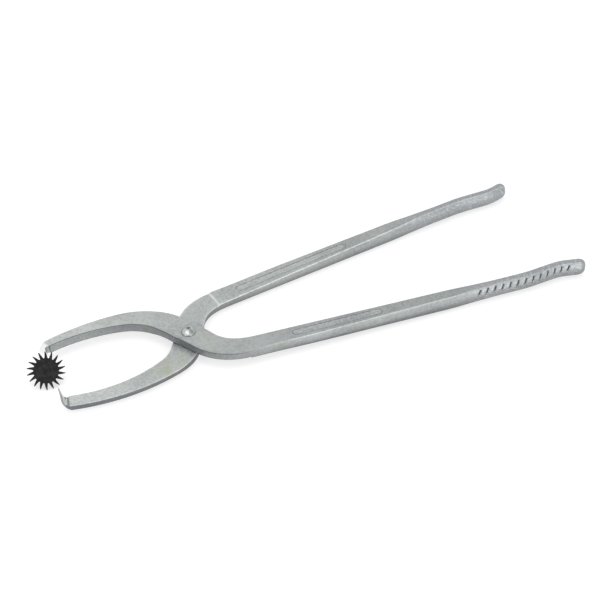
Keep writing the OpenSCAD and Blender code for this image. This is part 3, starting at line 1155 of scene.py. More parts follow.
@dataclass
class ToothedWheel:
    """The toothed wheel: slender swept teeth, broken edges and a plain bore.

    Attributes:
        place: Where the wheel stands.
        name: Name of the piece.
        diameter: Diameter over the teeth.
        root: Diameter between the teeth.
        teeth: Number of teeth.
        base: Width of a tooth at its root.
        tip: Width of a tooth at its tip.
        sweep: How far the tips lean round the wheel, in degrees.
        hollow: How the flanks are drawn in: the waist's share of the two half widths, its
            share of the sweep and how far below half height it lies.
        shoulder: How far below the tip the flanks end.
        valley: Shares of the way between two teeth and how far the root is hollowed there.
        bore: Bore of the wheel.
        broken_edge: Width of the broken edges.
    """

    place: WheelPlace
    name: str = "toothed_wheel"
    diameter: float = 21.6
    root: float = 14.5
    teeth: int = 18
    base: float = 1.8
    tip: float = 0.5
    sweep: float = 3.0
    hollow: Place = (0.44, 0.3, 0.2)
    shoulder: float = 0.12
    valley: tuple[tuple[float, float], ...] = ((0.25, 0.1), (0.5, 0.14), (0.75, 0.1))
    bore: float = 3.5
    broken_edge: float = 0.13

    @staticmethod
    def flank(*points: tuple[float, float]) -> list[tuple[float, ...]]:
        """Bend a hollow tooth flank through three points.

        Args:
            points: Its start, the point that draws it in and its end, as angle and radius.

        Returns:
            Its points, as angle in degrees and radius.
        """
        start, middle, end = (np.array(point) for point in points)
        shares = np.linspace(0, 1, 8)
        return [tuple((1 - t) ** 2 * start + 2 * (1 - t) * t * middle + t * t * end) for t in shares]

    def outline(self) -> Array:
        """Draw the wheel's outline, tooth by tooth.

        Returns:
            Rows of angle in degrees and radius.
        """
        base = math.degrees(self.base / self.root)
        tip = math.degrees(self.tip / self.diameter)
        low, high, pitch = self.root / 2, self.diameter / 2, 360.0 / self.teeth
        waist = (base + tip) * self.hollow[0]
        middle = (low + high) / 2 - self.hollow[2]
        neck = high - self.shoulder
        rows: list[tuple[float, ...]] = []
        for number in range(self.teeth):
            a = number * pitch
            bent, swept = a + self.sweep * self.hollow[1], a + self.sweep
            rows += self.flank((a - base, low), (bent - waist, middle), (swept - tip, neck))
            rows += [(swept - tip / 2, high), (swept + tip / 2, high)]
            rows += self.flank((swept + tip, neck), (bent + waist, middle), (a + base, low))
            rows += [(a + base + (pitch - 2 * base) * share, low - depth) for share, depth in self.valley]
        return np.array(rows)

    def build(self) -> Object:
        """Build the wheel from rings of the same number of points.

        Returns:
            The wheel as a mesh object in metres.
        """
        polar = self.outline()
        angle = np.radians(polar[:, 0])
        ray = np.stack([np.cos(angle), np.sin(angle)], axis=1)
        rim = ray * polar[:, 1:2]
        tangent = np.roll(rim, -1, axis=0) - np.roll(rim, 1, axis=0)
        inward = np.stack([-tangent[:, 1], tangent[:, 0]], axis=1)
        inward /= np.linalg.norm(inward, axis=1, keepdims=True)
        half, cut, bore = self.place.thickness / 2, self.broken_edge, self.bore / 2
        edge, inner = rim + inward * cut, self.root / 2 - 0.5
        front = [
            (ray * bore, half - cut, 0.0),
            (ray * (bore + cut), half, 0.6),
            (ray * inner, half, 0.0),
            (edge, half, 0.7),
            (rim, half - cut, 0.9),
        ]
        back = [(points, -level, worn) for points, level, worn in front]
        rings = []
        for points, level, worn in back + front[::-1]:
            rest = np.tile([level, worn, 0.0, 0.0, 0.0], (len(points), 1))
            rings.append(np.concatenate([points, rest], axis=1))
        piece = Skin(self.name, rings, closed_loop=True).build()
        piece.data.transform(self.place.matrix)
        smooth(piece, 28.0)
        return piece


# A domed head: the height of its upright rim, the break of its lower edge in radius and level,
# and the share to which its dome is drawn in from the rim.
RIM = 0.2
RIM_BREAK = (0.12, 0.1)
DRAWN_IN = 0.998


def dome_profile(radius: float, height: float, seat: float, dimple: float, dimple_radius: float) -> Outline:
    """Draw a domed head's profile from its rim to its middle.

    Args:
        radius: Radius of the head.
        height: Height of the head over its seat.
        seat: Level of its seat.
        dimple: Depth of the round mark in its middle.
        dimple_radius: Radius of that mark.

    Returns:
        Points of radius and level.
    """
    rim = min(RIM, height * 0.25)
    rise = height - rim
    ball = (radius * radius + rise * rise) / (2 * rise)
    points = [(radius - RIM_BREAK[0], seat), (radius, seat + RIM_BREAK[1])]
    for angle in np.linspace(math.asin(radius / ball), 0, 20):
        reach = ball * math.sin(angle)
        mark = dimple * (1 - ease(reach / dimple_radius))
        points.append((reach * DRAWN_IN, seat + rim + rise - ball + ball * math.cos(angle) - mark))
    return points


@dataclass
class WheelRivet:
    """The small rivet that carries the wheel: a low dome before it and one behind the pad.

    Attributes:
        place: Where the wheel stands.
        name: Name of the piece.
        pin: Diameter of the pin.
        head: Diameter of the heads.
        dome: Height of the heads.
        dimple: Depth of the round mark in the front head.
        dimple_radius: Radius of that mark.
    """

    place: WheelPlace
    name: str = "wheel_rivet_dressed"
    pin: float = 3.4
    head: float = 5.4
    dome: float = 0.9
    dimple: float = 0.06
    dimple_radius: float = 0.8

    def build(self) -> Object:
        """Turn the rivet's profile about the wheel's axis.

        Returns:
            The rivet as a mesh object in metres.
        """
        front, rear, pin = self.place.front_seat, self.place.rear_seat, self.pin / 2
        head = dome_profile(self.head / 2, self.dome, front, self.dimple, self.dimple_radius)
        plain = dome_profile(self.head / 2, self.dome, front, 0.0, self.dimple_radius)
        tail = [(radius, rear - (level - front)) for radius, level in reversed(plain)]
        piece = turned(self.name, tail + [(pin, rear), (pin, front)] + head, 72)
        piece.data.transform(self.place.matrix)
        smooth(piece, 40.0)
        return piece


@dataclass
class JointRivet:
    """The joint's rivet: polished dome, shank and a closing head set in the underside.

    Attributes:
        name: Name of the piece.
        shank: Diameter of the shank.
        head: Diameter of the domed head.
        dome: Height of its dome over its rim.
        dimple: Depth of the round mark in its middle.
        dimple_radius: Radius of that mark.
        closing: Diameter of the closing head.
        closing_depth: Depth of the closing head.
        closing_break: Break of its outer edge, in radius and level.
        thickness: Thickness of a half at the joint.
        gap: Gap under the head, and between the halves.
    """

    name: str = "joint_rivet"
    shank: float = 5.6
    head: float = 8.4
    dome: float = 1.8
    dimple: float = 0.03
    dimple_radius: float = 1.2
    closing: float = 8.0
    closing_depth: float = 1.3
    closing_break: tuple[float, float] = (0.15, 0.1)
    thickness: float = 4.5
    gap: float = 0.08

    def build(self) -> Object:
        """Turn the rivet's profile about the joint's axis.

        Returns:
            The rivet as a mesh object in metres.
        """
        top, low = self.thickness + self.gap, -self.thickness - self.gap
        closing, shank = self.closing / 2, self.shank / 2
        outline = [
            (0.0, low),
            (closing - self.closing_break[0], low),
            (closing, low + self.closing_break[1]),
            (shank, low + self.closing_depth),
            (shank, top),
        ]
        outline += dome_profile(self.head / 2, self.dome + RIM, top, self.dimple, self.dimple_radius)
        piece = turned(self.name, outline, 96)
        smooth(piece, 40.0)
        return piece


# Mesh tools


def shown(name: str, data: bpy.types.ID) -> Object:
    """Put a mesh, lamp or camera into the scene.

    Args:
        name: Name of the object.
        data: What it shows.

    Returns:
        The object.
    """
    thing = bpy.data.objects.new(name, data)
    bpy.context.scene.collection.objects.link(thing)
    return thing


def set_share(mesh: bpy.types.Mesh, name: str, values: Array) -> None:
    """Keep one share for each point of a mesh, for its finish to read."""
    layer = mesh.attributes.new(name, "FLOAT", "POINT")
    layer.data.foreach_set("value", values.astype(np.float32))


@dataclass
class Skin:
    """A mesh skinned through rings of the same number of points.

    Attributes:
        name: Name of the piece.
        rings: Rows of x, y, z in millimetres, then the worn, flank, sunk and highlight shares.
        closed_loop: True where the last ring joins the first, as round a bore.
    """

    name: str
    rings: list[Array]
    closed_loop: bool = False

    def build(self) -> Object:
        """Make the mesh object with its shares as point attributes.

        Returns:
            The piece as a mesh object in metres.
        """
        count, total = len(self.rings[0]), len(self.rings)
        points = np.concatenate(self.rings)
        faces: list[tuple[int, ...]] = []
        for number in range(total if self.closed_loop else total - 1):
            low, high = number * count, (number + 1) % total * count
            for j in range(count):
                k = (j + 1) % count
                faces.append((low + j, low + k, high + k, high + j))
        if not self.closed_loop:
            faces += [tuple(range(count)), tuple((total - 1) * count + j for j in range(count))]
        mesh = bpy.data.meshes.new(self.name)
        mesh.from_pydata((points[:, :3] * MM).tolist(), [], faces)
        for column, share in enumerate(("worn", "flank", "sunk", "ground"), 3):
            set_share(mesh, share, points[:, column])
        shape = bmesh.new()
        shape.from_mesh(mesh)
        bmesh.ops.recalc_face_normals(shape, faces=shape.faces)
        shape.to_mesh(mesh)
        shape.free()
        return shown(self.name, mesh)


# A profile's corner turns by more than CORNER degrees, and from SHARP degrees more on it is
# fully rubbed. A point nearer the axis than ON_AXIS millimetres closes the body.
CORNER = 12.0
SHARP = 30.0
ON_AXIS = 0.01


def turned(name: str, outline: Outline, count: int) -> Object:
    """Turn a profile about the Z axis.

    Args:
        name: Name of the piece.
        outline: Points of radius and level in millimetres, from the axis back to the axis.
        count: Number of steps round.

    Returns:
        The closed body as a mesh object in metres.
    """
    shape = bmesh.new()
    angles = [2 * math.pi * k / count for k in range(count)]
    loops: list[list[bmesh.types.BMVert]] = []
    for radius, level in outline:
        if radius < ON_AXIS:
            loops.append([shape.verts.new((0.0, 0.0, level * MM))])
            continue
        corners = [(radius * MM * math.cos(a), radius * MM * math.sin(a), level * MM) for a in angles]
        loops.append([shape.verts.new(corner) for corner in corners])
    for low, high in zip(loops, loops[1:]):
        for k in range(count):
            n = (k + 1) % count
            if len(low) == 1 and len(high) > 1:
                shape.faces.new((low[0], high[n], high[k]))
            elif len(high) == 1 and len(low) > 1:
                shape.faces.new((low[k], low[n], high[0]))
            elif len(low) > 1:
                shape.faces.new((low[k], low[n], high[n], high[k]))
    bmesh.ops.recalc_face_normals(shape, faces=shape.faces)
    mesh = bpy.data.meshes.new(name)
    shape.to_mesh(mesh)
    shape.free()
    steps = np.diff(np.array(outline), axis=0)
    turns = np.abs(np.diff(np.degrees(np.unwrap(np.arctan2(steps[:, 1], steps[:, 0])))))
    edges = np.clip((np.concatenate([[0.0], turns, [0.0]]) - CORNER) / SHARP, 0, 1)
    set_share(mesh, "worn", np.repeat(edges, [len(loop) for loop in loops]))
    return shown(name, mesh)


def plug(name: str, radius: float, low: float, high: float, count: int) -> Object:
    """Return a round plug along the Z axis, to cut a bore with."""
    return turned(name, [(0, low), (radius, low), (radius, high), (0, high)], count)


def drill(piece: Object, cutter: Object) -> None:
    """Cut one body out of a piece and drop the cutter.

    Args:
        piece: The piece that is cut.
        cutter: The body that is taken away.
    """
    cut = piece.modifiers.new("bore", "BOOLEAN")
    cut.operation, cut.solver, cut.object = "DIFFERENCE", "EXACT", cutter
    graph = bpy.context.evaluated_depsgraph_get()
    mesh = bpy.data.meshes.new_from_object(piece.evaluated_get(graph))
    old, scrap = piece.data, cutter.data
    piece.modifiers.clear()
    piece.data = mesh
    mesh.name = piece.name
    bpy.data.objects.remove(cutter)
    for unused in (old, scrap):
        bpy.data.meshes.remove(unused)


def smooth(piece: Object, crease: float) -> None:
    """Shade a piece smooth, with creases kept and flat faces kept flat.

    Args:
        piece: The piece.
        crease: Angle in degrees over which an edge stays sharp.
    """
    piece.data.shade_smooth()
    piece.data.set_sharp_from_angle(angle=math.radians(crease))
    weights = piece.modifiers.new("flat_faces", "WEIGHTED_NORMAL")
    weights.keep_sharp = True
    weights.weight = 60


# Finishes


@dataclass(frozen=True)
class Grain:
    """A noise over the object.

    Attributes:
        size: Size of its grains in millimetres.
        detail: Number of finer layers.
        rough: Strength of the finer layers.
        stretch: Scale along each axis.
    """

    size: float
    detail: float = 4.0
    rough: float = 0.5
    stretch: Place = (1.0, 1.0, 1.0)


class Nodes:
    """The nodes of one tree, made and joined in plain words."""

    def __init__(self, tree: bpy.types.NodeTree) -> None:
        """Take over a tree and clear it."""
        self.tree = tree
        self.tree.nodes.clear()

    def make(self, kind: str, inputs: dict[str | int, Feed], **settings: str) -> bpy.types.NodeOutputs:
        """Make a node.

        Args:
            kind: Type of the node.
            inputs: The value or the socket that each of its inputs gets, by name or number.
            settings: Its settings, by name.

        Returns:
            The node's outputs.
        """
        node = self.tree.nodes.new(kind)
        for name, value in settings.items():
            setattr(node, name, value)
        for key, value in inputs.items():
            self.feed(node.inputs[key], value)
        return node.outputs

    def feed(self, target: Socket, value: Feed) -> None:
        """Set or link one socket.

        Args:
            target: The socket.
            value: The value that it gets, or the socket that it is linked to.
        """
        if isinstance(value, bpy.types.NodeSocket):
            self.tree.links.new(value, target)
        else:
            target.default_value = value

    def math(self, operation: str, first: Feed, second: Feed) -> Socket:
        """Return what a math operation makes of two values."""
        return self.make("ShaderNodeMath", {0: first, 1: second}, operation=operation)[0]

    def times(self, first: Feed, second: Feed) -> Socket:
        """Return the product of two values."""
        return self.math("MULTIPLY", first, second)

    def seen(self) -> Socket:
        """Tell the rays that show a thing from those that light it.

        Returns:
            1 for rays of the camera, gloss and glass, else 0.
        """
        rays = self.make("ShaderNodeLightPath", {})
        eye = self.math("MAXIMUM", rays["Is Camera Ray"], rays["Is Glossy Ray"])
        return self.math("MAXIMUM", eye, rays["Is Transmission Ray"])


class Shader(Nodes):
    """One material's nodes: a surface shader over the object's own coordinates."""

    def __init__(self, name: str) -> None:
        """Start a material, with its noises and shares still to be asked for.

        Args:
            name: Name of the finish.
        """
        self.material = bpy.data.materials.new(name)
        self.material.use_nodes = True
        super().__init__(self.material.node_tree)
        self.surface = self.tree.nodes.new("ShaderNodeBsdfPrincipled")
        self.make("ShaderNodeOutputMaterial", {0: self.surface.outputs[0]})
        self.place = self.make("ShaderNodeTexCoord", {})["Object"]
        self.asked: dict[Grain | str, Socket] = {}
        self.colour: Feed = (1, 1, 1, 1)

    def lay(self, share: Feed, tone: Feed, mode: str = "MIX") -> None:
        """Lay a share of a tone over the surface's colour so far."""
        self.colour = self.blend(share, self.colour, tone, mode)

    def set(self, name: str, value: Feed) -> None:
        """Set or link one socket of the surface shader."""
        self.feed(self.surface.inputs[name], value)

    def noise(self, grain: Grain) -> Socket:
        """Lay a noise over the object, once for each grain.

        Args:
            grain: The noise's grain.

        Returns:
            The noise value's socket.
        """
        if grain not in self.asked:
            place = self.place
            if grain.stretch != (1.0, 1.0, 1.0):
                place = self.make("ShaderNodeMapping", {"Scale": grain.stretch, "Vector": place})["Vector"]
            sizes = {"Scale": 1.0 / (grain.size * MM), "Detail": grain.detail, "Roughness": grain.rough}
            self.asked[grain] = self.make("ShaderNodeTexNoise", sizes | {"Vector": place})["Fac"]
        return self.asked[grain]

    def share(self, name: str) -> Socket:
        """Read one of the mesh's point shares, once for each name.

        Args:
            name: Name of the share.

        Returns:
            The share's socket.
        """
        if name not in self.asked:
            self.asked[name] = self.make("ShaderNodeAttribute", {}, attribute_name=name)["Fac"]
        return self.asked[name]

    def along(self, axis: int) -> Socket:
        """Return the place along one axis, in metres."""
        return self.make("ShaderNodeSeparateXYZ", {0: self.place})[axis]

    def away(self, point: Place) -> Socket:
        """Return the distance from a point, both in metres."""
        return self.make("ShaderNodeVectorMath", {0: self.place, 1: point}, operation="DISTANCE")["Value"]

    def grey(self, tone: Socket) -> Socket:
        """Return a grey of a tone."""
        return self.make("ShaderNodeCombineColor", {0: tone, 1: tone, 2: tone})[0]

    def spread(self, value: Socket, low: float, high: float, to_low: float = 0, to_high: float = 1) -> Socket:
        """Spread a value softly from one range to another and hold it there.

        Args:
            value: The value.
            low: Where the first range starts.
            high: Where it ends.
            to_low: What the value becomes at its start.
            to_high: What it becomes at its end.

        Returns:
            The spread value's socket.
        """
        ranges = {"Value": value, "From Min": low, "From Max": high, "To Min": to_low, "To Max": to_high}
        return self.make("ShaderNodeMapRange", ranges, interpolation_type="SMOOTHSTEP")["Result"]

    def blend(self, share: Feed, first: Feed, second: Feed, mode: str = "MIX") -> Socket:
        """Blend two colours.

        Args:
            share: Share of the second colour.
            first: The first colour.
            second: The second colour.
            mode: How the second is laid over the first.

        Returns:
            The blended colour's socket.
        """
        inputs = {0: share, 6: first, 7: second}
        return self.make("ShaderNodeMix", inputs, data_type="RGBA", blend_type=mode)[2]

    def bump(self, height: Socket, depth: float, strength: float, below: Socket | None = None) -> Socket:
        """Bump the surface.

        Args:
            height: The height's socket.
            depth: Depth of the bump in millimetres.
            strength: Strength of the bump.
            below: A bumped normal that this one adds to.

        Returns:
            The normal's socket.
        """
        inputs = {"Strength": strength, "Distance": depth * MM, "Height": height}
        if below is not None:
            inputs["Normal"] = below
        return self.make("ShaderNodeBump", inputs)["Normal"]


@dataclass(frozen=True)
class ZincPlate:
    """Bright zinc over a forged skin: mottled grey, faint stains, bright worn edges,
    painted shade on the sides, edges and hollows, and painted highlights on the tips.

    Attributes:
        name: Name of the finish.
        light: Colour of the light patches.
        dark: Colour of the dull patches.
        stain: Colour of the faint yellow-green stains.
        flank: Tone of the sides' fullest painted shade and of the faces' darkest stretches.
        worn: Colour of the rubbed edges, partly wear and partly a painted highlight, and of the pebbles in
            the panels.
        highlight: Colour of the painted highlight on the bent tips and along the hook half's step.
        shade_and_scuff: Colour of the painted shade in the notches, on the panels' walls, in the hook's bend
            and along shaded edges, and of the dark scuffs on the grips.
        handled: Colour of the grips, where the hand has dulled them to a cooler grey.
        patch_at: Where the largest stain lies on the hook jaw, in metres.
        patch_reach: Where it starts to fade and has gone, in metres from there.
        grip_from: Where the hand's dulling starts and is full along the tool, in metres.
        broad: Grain of the broad patches and dents.
        spots: Grain of the stains.
        mottle: Grain of the mottled skin.
        fine: Grain of the fine specks.
        scuffs: Grain of the scuffs on the grips.
        pebbles: Grain of the panels' ground.
    """

    name: str = "zinc_plated_forging"
    light: Colour = (0.565, 0.595, 0.58, 1)
    dark: Colour = (0.43, 0.457, 0.443, 1)
    stain: Colour = (0.46, 0.48, 0.34, 1)
    flank: Colour = (0.36, 0.358, 0.39, 1)
    worn: Colour = (0.74, 0.76, 0.755, 1)
    ground: Colour = (0.84, 0.85, 0.84, 1)
    shade_and_scuff: Colour = (0.055, 0.062, 0.06, 1)
    handled: Colour = (0.375, 0.393, 0.415, 1)
    patch_at: Place = (-0.016, -0.021, 0.0)
    patch_reach: tuple[float, float] = (0.004, 0.017)
    grip_from: tuple[float, float] = (0.145, 0.175)
    broad: Grain = Grain(26.0, 2.0, 0.5)
    spots: Grain = Grain(8.0, 7.0, 0.68)
    mottle: Grain = Grain(1.7, 5.0, 0.6)
    fine: Grain = Grain(0.5, 3.0, 0.66)
    scuffs: Grain = Grain(0.95, 3.0, 0.6, (0.6, 1.0, 1.0))
    pebbles: Grain = Grain(0.8, 2.0, 0.5)

    def material(self) -> Material:
        """Build the finish's material.

        Returns:
            The material.
        """
        shader = Shader(self.name)
        for step in (self.plate, self.tarnish, self.age, self.dull_grips, self.paint_hollow_shade):
            step(shader)
        # A painted highlight on the bent tips and along the hook half's step.
        ground, mottle = shader.share("ground"), shader.noise(self.mottle)
        shader.lay(ground, self.ground)
        rough = shader.times(shader.share("flank"), 0.06)
        rough = shader.math("ADD", shader.spread(mottle, 0.3, 0.7, 0.4, 0.52), rough)
        shader.set("Base Color", shader.colour)
        shader.set("Metallic", 1.0)
        shader.set("Roughness", shader.math("SUBTRACT", rough, shader.times(ground, 0.06)))
        shader.set("Normal", self.relief(shader))
        return shader.material

    def plate(self, shader: Shader) -> None:
        """Mottle the plating light and dull.

        Args:
            shader: The finish's shader.
        """
        broad, mottle = shader.noise(self.broad), shader.noise(self.mottle)
        patches = shader.math("ADD", shader.times(broad, 0.4), shader.times(mottle, 0.6))
        shader.lay(1.0, self.dark)
        shader.lay(shader.spread(patches, 0.36, 0.6), self.light)

    def tarnish(self, shader: Shader) -> None:
        """Stain the plating faintly, most on the hook jaw.

        Args:
            shader: The finish's shader.
        """
        spots, broad = shader.noise(self.spots), shader.noise(self.broad)
        stained = shader.times(shader.spread(spots, 0.52, 0.68), shader.spread(broad, 0.44, 0.6))
        near = shader.spread(shader.away(self.patch_at), *self.patch_reach, 1.0, 0.0)
        stained = shader.math("MAXIMUM", stained, shader.times(near, shader.spread(spots, 0.42, 0.6)))
        shader.lay(shader.times(stained, 0.6), self.stain)

    def age(self, shader: Shader) -> None:
        """Paint shade on the sides and darken stretches of the faces, speck the skin, and rub the edges
        bright or paint shade lines along them.

        Args:
            shader: The finish's shader.
        """
        worn, mottle, fine = shader.share("worn"), shader.noise(self.mottle), shader.noise(self.fine)
        # Painted shade down the sides, and darker stretches on the faces.
        shader.lay(shader.share("flank"), shader.blend(1.0, shader.colour, self.flank, "MULTIPLY"))
        shader.lay(1.0, shader.grey(shader.spread(fine, 0.3, 0.72, 0.84, 1.14)), "MULTIPLY")
        rubbed = shader.times(shader.spread(worn, 0.0, 1.0), shader.spread(mottle, 0.3, 0.6, 0.3, 0.8))
        shader.lay(rubbed, self.worn)
        # Painted shade lines along the edges whose worn share is below 0.
        shader.lay(shader.times(shader.spread(worn, -0.9, -0.05, 1.0, 0.0), 0.9), self.shade_and_scuff)

    def dull_grips(self, shader: Shader) -> None:
        """Dull the grips and scuff them dark and light.

        Args:
            shader: The finish's shader.
        """
        grip, scuffs = shader.spread(shader.along(0), *self.grip_from), shader.noise(self.scuffs)
        dark, light = shader.spread(scuffs, 0.42, 0.6, 0.2, 0.0), shader.spread(scuffs, 0.54, 0.68, 0.0, 0.26)
        for share, tone in ((0.55, self.handled), (dark, self.shade_and_scuff), (light, self.worn)):
            shader.lay(shader.times(grip, share), tone)

    def paint_hollow_shade(self, shader: Shader) -> None:
        """Paint shade on the panels' walls, in the notches and in the hook's bend, and pick out the panels'
        pebbles.

        Args:
            shader: The finish's shader.
        """
        sunk, pebbles = shader.share("sunk"), shader.noise(self.pebbles)
        # Painted shade on the panels' walls.
        wall = shader.times(shader.spread(sunk, 0.01, 0.09), shader.spread(sunk, 0.2, 0.29, 0.7, 0.0))
        shader.lay(wall, self.shade_and_scuff)
        shader.lay(shader.times(self.field(shader), shader.spread(pebbles, 0.45, 0.62, 0.0, 0.22)), self.worn)
        # Painted shade in the notches and in the hook's bend.
        shader.lay(shader.spread(sunk, 0.33, 0.8), self.shade_and_scuff)

    @staticmethod
    def field(shader: Shader) -> Socket:
        """Return 1 in a panel's field or a notch, 0 outside."""
        return shader.spread(shader.share("sunk"), 0.05, 0.25)

    def relief(self, shader: Shader) -> Socket:
        """Bump the skin, from broad dents to fine grain.

        Args:
            shader: The finish's shader.

        Returns:
            The normal's socket.
        """
        dents = shader.bump(shader.noise(self.broad), 0.2, 0.2)
        skin = shader.bump(shader.noise(self.mottle), 0.06, 0.35, dents)
        pebbled = shader.bump(shader.times(self.field(shader), shader.noise(self.pebbles)), 0.3, 0.45, skin)
        return shader.bump(shader.noise(self.fine), 0.02, 0.5, pebbled)


@dataclass(frozen=True)
class PolishedSteel:
    """The joint rivet's polished head, with light hammer marks and fine scratches, and
    painted shade round its rim and in two spots on its dome.

    Attributes:
        name: Name of the finish.
        bright: Colour of the polish.
        dull: Colour of the dull marks.
        mark: Colour of the painted shade round the rim and in the two spots.
        shade_spot_at: Where the darker painted shade spot lies, in metres.
        shade_spot_radius: Its radius in metres.
        shade_patch_at: Where a fainter painted shade patch lies beside it, in metres.
        rim_shade_at: The middle of the head's seat; painted shade darkens the head away from it.
        rim: Where that painted shade starts and is full, in metres from there.
        marks: Grain of the hammer marks.
        scratches: Grain of the scratches.
    """

    name: str = "polished_rivet"
    bright: Colour = (0.50, 0.52, 0.512, 1)
    dull: Colour = (0.33, 0.35, 0.344, 1)
    mark: Colour = (0.07, 0.072, 0.07, 1)
    shade_spot_at: Place = (0.0005, 0.0009, 0.0064)
    shade_spot_radius: float = 0.0017
    shade_patch_at: Place = (0.0007, -0.0021, 0.0058)
    rim_shade_at: Place = (0.0, 0.0, 0.0046)
    rim: tuple[float, float] = (0.0036, 0.0044)
    marks: Grain = Grain(1.3, 4.0, 0.6)
    scratches: Grain = Grain(0.6, 4.0, 0.7, (1.0, 6.0, 1.0))

    def material(self) -> Material:
        """Build the finish's material.

        Returns:
            The material.
        """
        shader = Shader(self.name)
        marks, radius = shader.noise(self.marks), self.shade_spot_radius
        shader.lay(1.0, self.bright)
        shader.lay(shader.spread(marks, 0.35, 0.7), self.dull)
        # Painted shade round the head's rim.
        shader.lay(shader.spread(shader.away(self.rim_shade_at), *self.rim, 0.0, 0.75), self.mark)
        shader.lay(shader.times(shader.share("worn"), 0.5), self.bright)
        # Two spots of painted shade on the dome.
        spot_shade = shader.spread(shader.away(self.shade_spot_at), radius * 0.35, radius, 0.9, 0.0)
        patch_shade = shader.spread(shader.away(self.shade_patch_at), radius * 0.4, radius * 1.2, 0.62, 0.0)
        shader.lay(shader.math("MAXIMUM", spot_shade, patch_shade), self.mark)
        shader.set("Base Color", shader.colour)
        shader.set("Metallic", 1.0)
        shader.set("Roughness", shader.spread(marks, 0.3, 0.7, 0.28, 0.4))
        dents = shader.bump(marks, 0.05, 0.3)
        shader.set("Normal", shader.bump(shader.noise(self.scratches), 0.01, 0.3, dents))
        return shader.material


@dataclass(frozen=True)
class BlackOxide:
    """Blackened steel: dark oil-dull skin, grey where it is rubbed.

    Attributes:
        name: Name of the finish.
        black: Colour of the skin.
        dusty: Colour of its dusty patches.
        rubbed: Colour of the rubbed edges.
        gloss: Roughness of the skin.
        shine: Strength of its gloss.
        patches: Grain of the patches.
        grain: Grain of the skin.
    """

    name: str = "black_oxide"
    black: Colour = (0.010, 0.010, 0.0105, 1)
    dusty: Colour = (0.020, 0.020, 0.0205, 1)
    rubbed: Colour = (0.060, 0.060, 0.064, 1)
    gloss: float = 0.46
    shine: float = 0.13
    patches: Grain = Grain(2.4, 5.0, 0.6)
    grain: Grain = Grain(0.3, 3.0, 0.6)

    def material(self) -> Material:
        """Build the finish's material.

        Returns:
            The material.
        """
        shader = Shader(self.name)
        patches, grain = shader.noise(self.patches), shader.noise(self.grain)
        shader.lay(1.0, self.black)
        shader.lay(shader.spread(patches, 0.4, 0.7), self.dusty)
        bare = shader.spread(patches, 0.45, 0.65, 0.1, 0.7)
        shader.lay(shader.times(shader.share("worn"), bare), self.rubbed)
        shader.set("Base Color", shader.colour)
        shader.set("Specular IOR Level", self.shine)
        shader.set("Roughness", shader.spread(grain, 0.3, 0.7, self.gloss - 0.05, self.gloss + 0.14))
        shader.set("Normal", shader.bump(grain, 0.02, 0.5, shader.bump(patches, 0.05, 0.3)))
        return shader.material


# Sub-assemblies


def dress(piece: Object, material: Material, node: str, body: str) -> Object:
    """Give a piece its finish and its place in the tool.

    Args:
        piece: The piece.
        material: Its finish.
        node: The node of the frame that it stands for.
        body: The body that it moves with.

    Returns:
        The piece.
    """
    piece.data.materials.clear()
    piece.data.materials.append(material)
    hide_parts(node)
    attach(piece, body)
    return piece


@dataclass
class StarHalf:
    """The upper half: star lever and the rivet that carries the wheel.

    Attributes:
        place: Where the wheel stands.
        zinc: Finish of the lever.
        black: Finish of the rivet.
        body: The body that they move with.
    """

    place: WheelPlace
    zinc: Material
    black: Material
    body: str = "star_half"

    def build(self) -> list[Object]:
        """Build and dress the half's pieces.

        Returns:
            The lever and the wheel's rivet.
        """
        lever = StarLever(
            name="star_forging", half=Half.STAR, wheel=self.place,
            jaw_root=7.8, root_radius=39.1, root_turn=52.7, bow_radius=118.7, reach=87.8,
            tip_width=7.7, swell_start=22.0, swell_power=1.5,
            panel=SunkPanel(65.09, 55.0, 5.0, 0.35, Face.TOP),
        )
        rivet = WheelRivet(self.place)
        return [
            dress(lever.build(), self.zinc, "star_lever", self.body),
            dress(rivet.build(), self.black, "wheel_rivet", self.body),
        ]


@dataclass
class HookHalf:
    """The lower half: hook lever and the joint's rivet.

    Attributes:
        zinc: Finish of the lever.
        polish: Finish of the rivet.
        body: The body that they move with.
    """

    zinc: Material
    polish: Material
    body: str = "hook_half"

    def build(self) -> list[Object]:
        """Build and dress the half's pieces.

        Returns:
            The lever and the joint's rivet.
        """
        # Here the sides take painted shade nearly in full, and the rubbed edges are partly a painted
        # highlight.
        dull = ShadeAndWearRun(
            stations=(-88.0, -45.0, -14.0, 30.0, 70.0, 240.0),
            face=(0.04, 0.29, 0.32, 0.34, 0.40, 0.60),
            upper=(1.0, 0.86, 1.0, 0.8, 0.34, 0.3),
            lower=(1.0, 1.0, 1.0, 0.9, 0.85, 0.9),
            edge=(0.2, 0.4, 1.0, 0.9, 0.9, 0.85),
        )
        lever = HookLever(
            name="hook_forging", half=Half.HOOK, dull=dull, highlight_on_sides=0.05,
            jaw_root=2.3, root_radius=31.8, root_turn=42.2, bow_radius=102.9, reach=86.2,
            tip_width=8.3, swell_start=10.0, swell_power=2.0,
            panel=SunkPanel(53.09, 76.0, 5.0, 0.35, Face.UNDER), end_less=4.0,
        )
        return [
            dress(lever.build(), self.zinc, "hook_lever", self.body),
            dress(JointRivet().build(), self.polish, "pivot_rivet", self.body),
        ]


@dataclass
class WheelHalf:
    """The toothed wheel, which turns on its rivet.

    Attributes:
        place: Where the wheel stands.
        black: Its finish.
        body: The body that it moves with.
    """

    place: WheelPlace
    black: Material
    body: str = "wheel"

    def build(self) -> list[Object]:
        """Build the wheel and dress it."""
        return [dress(ToothedWheel(self.place).build(), self.black, "star_wheel", self.body)]


# Studio and camera


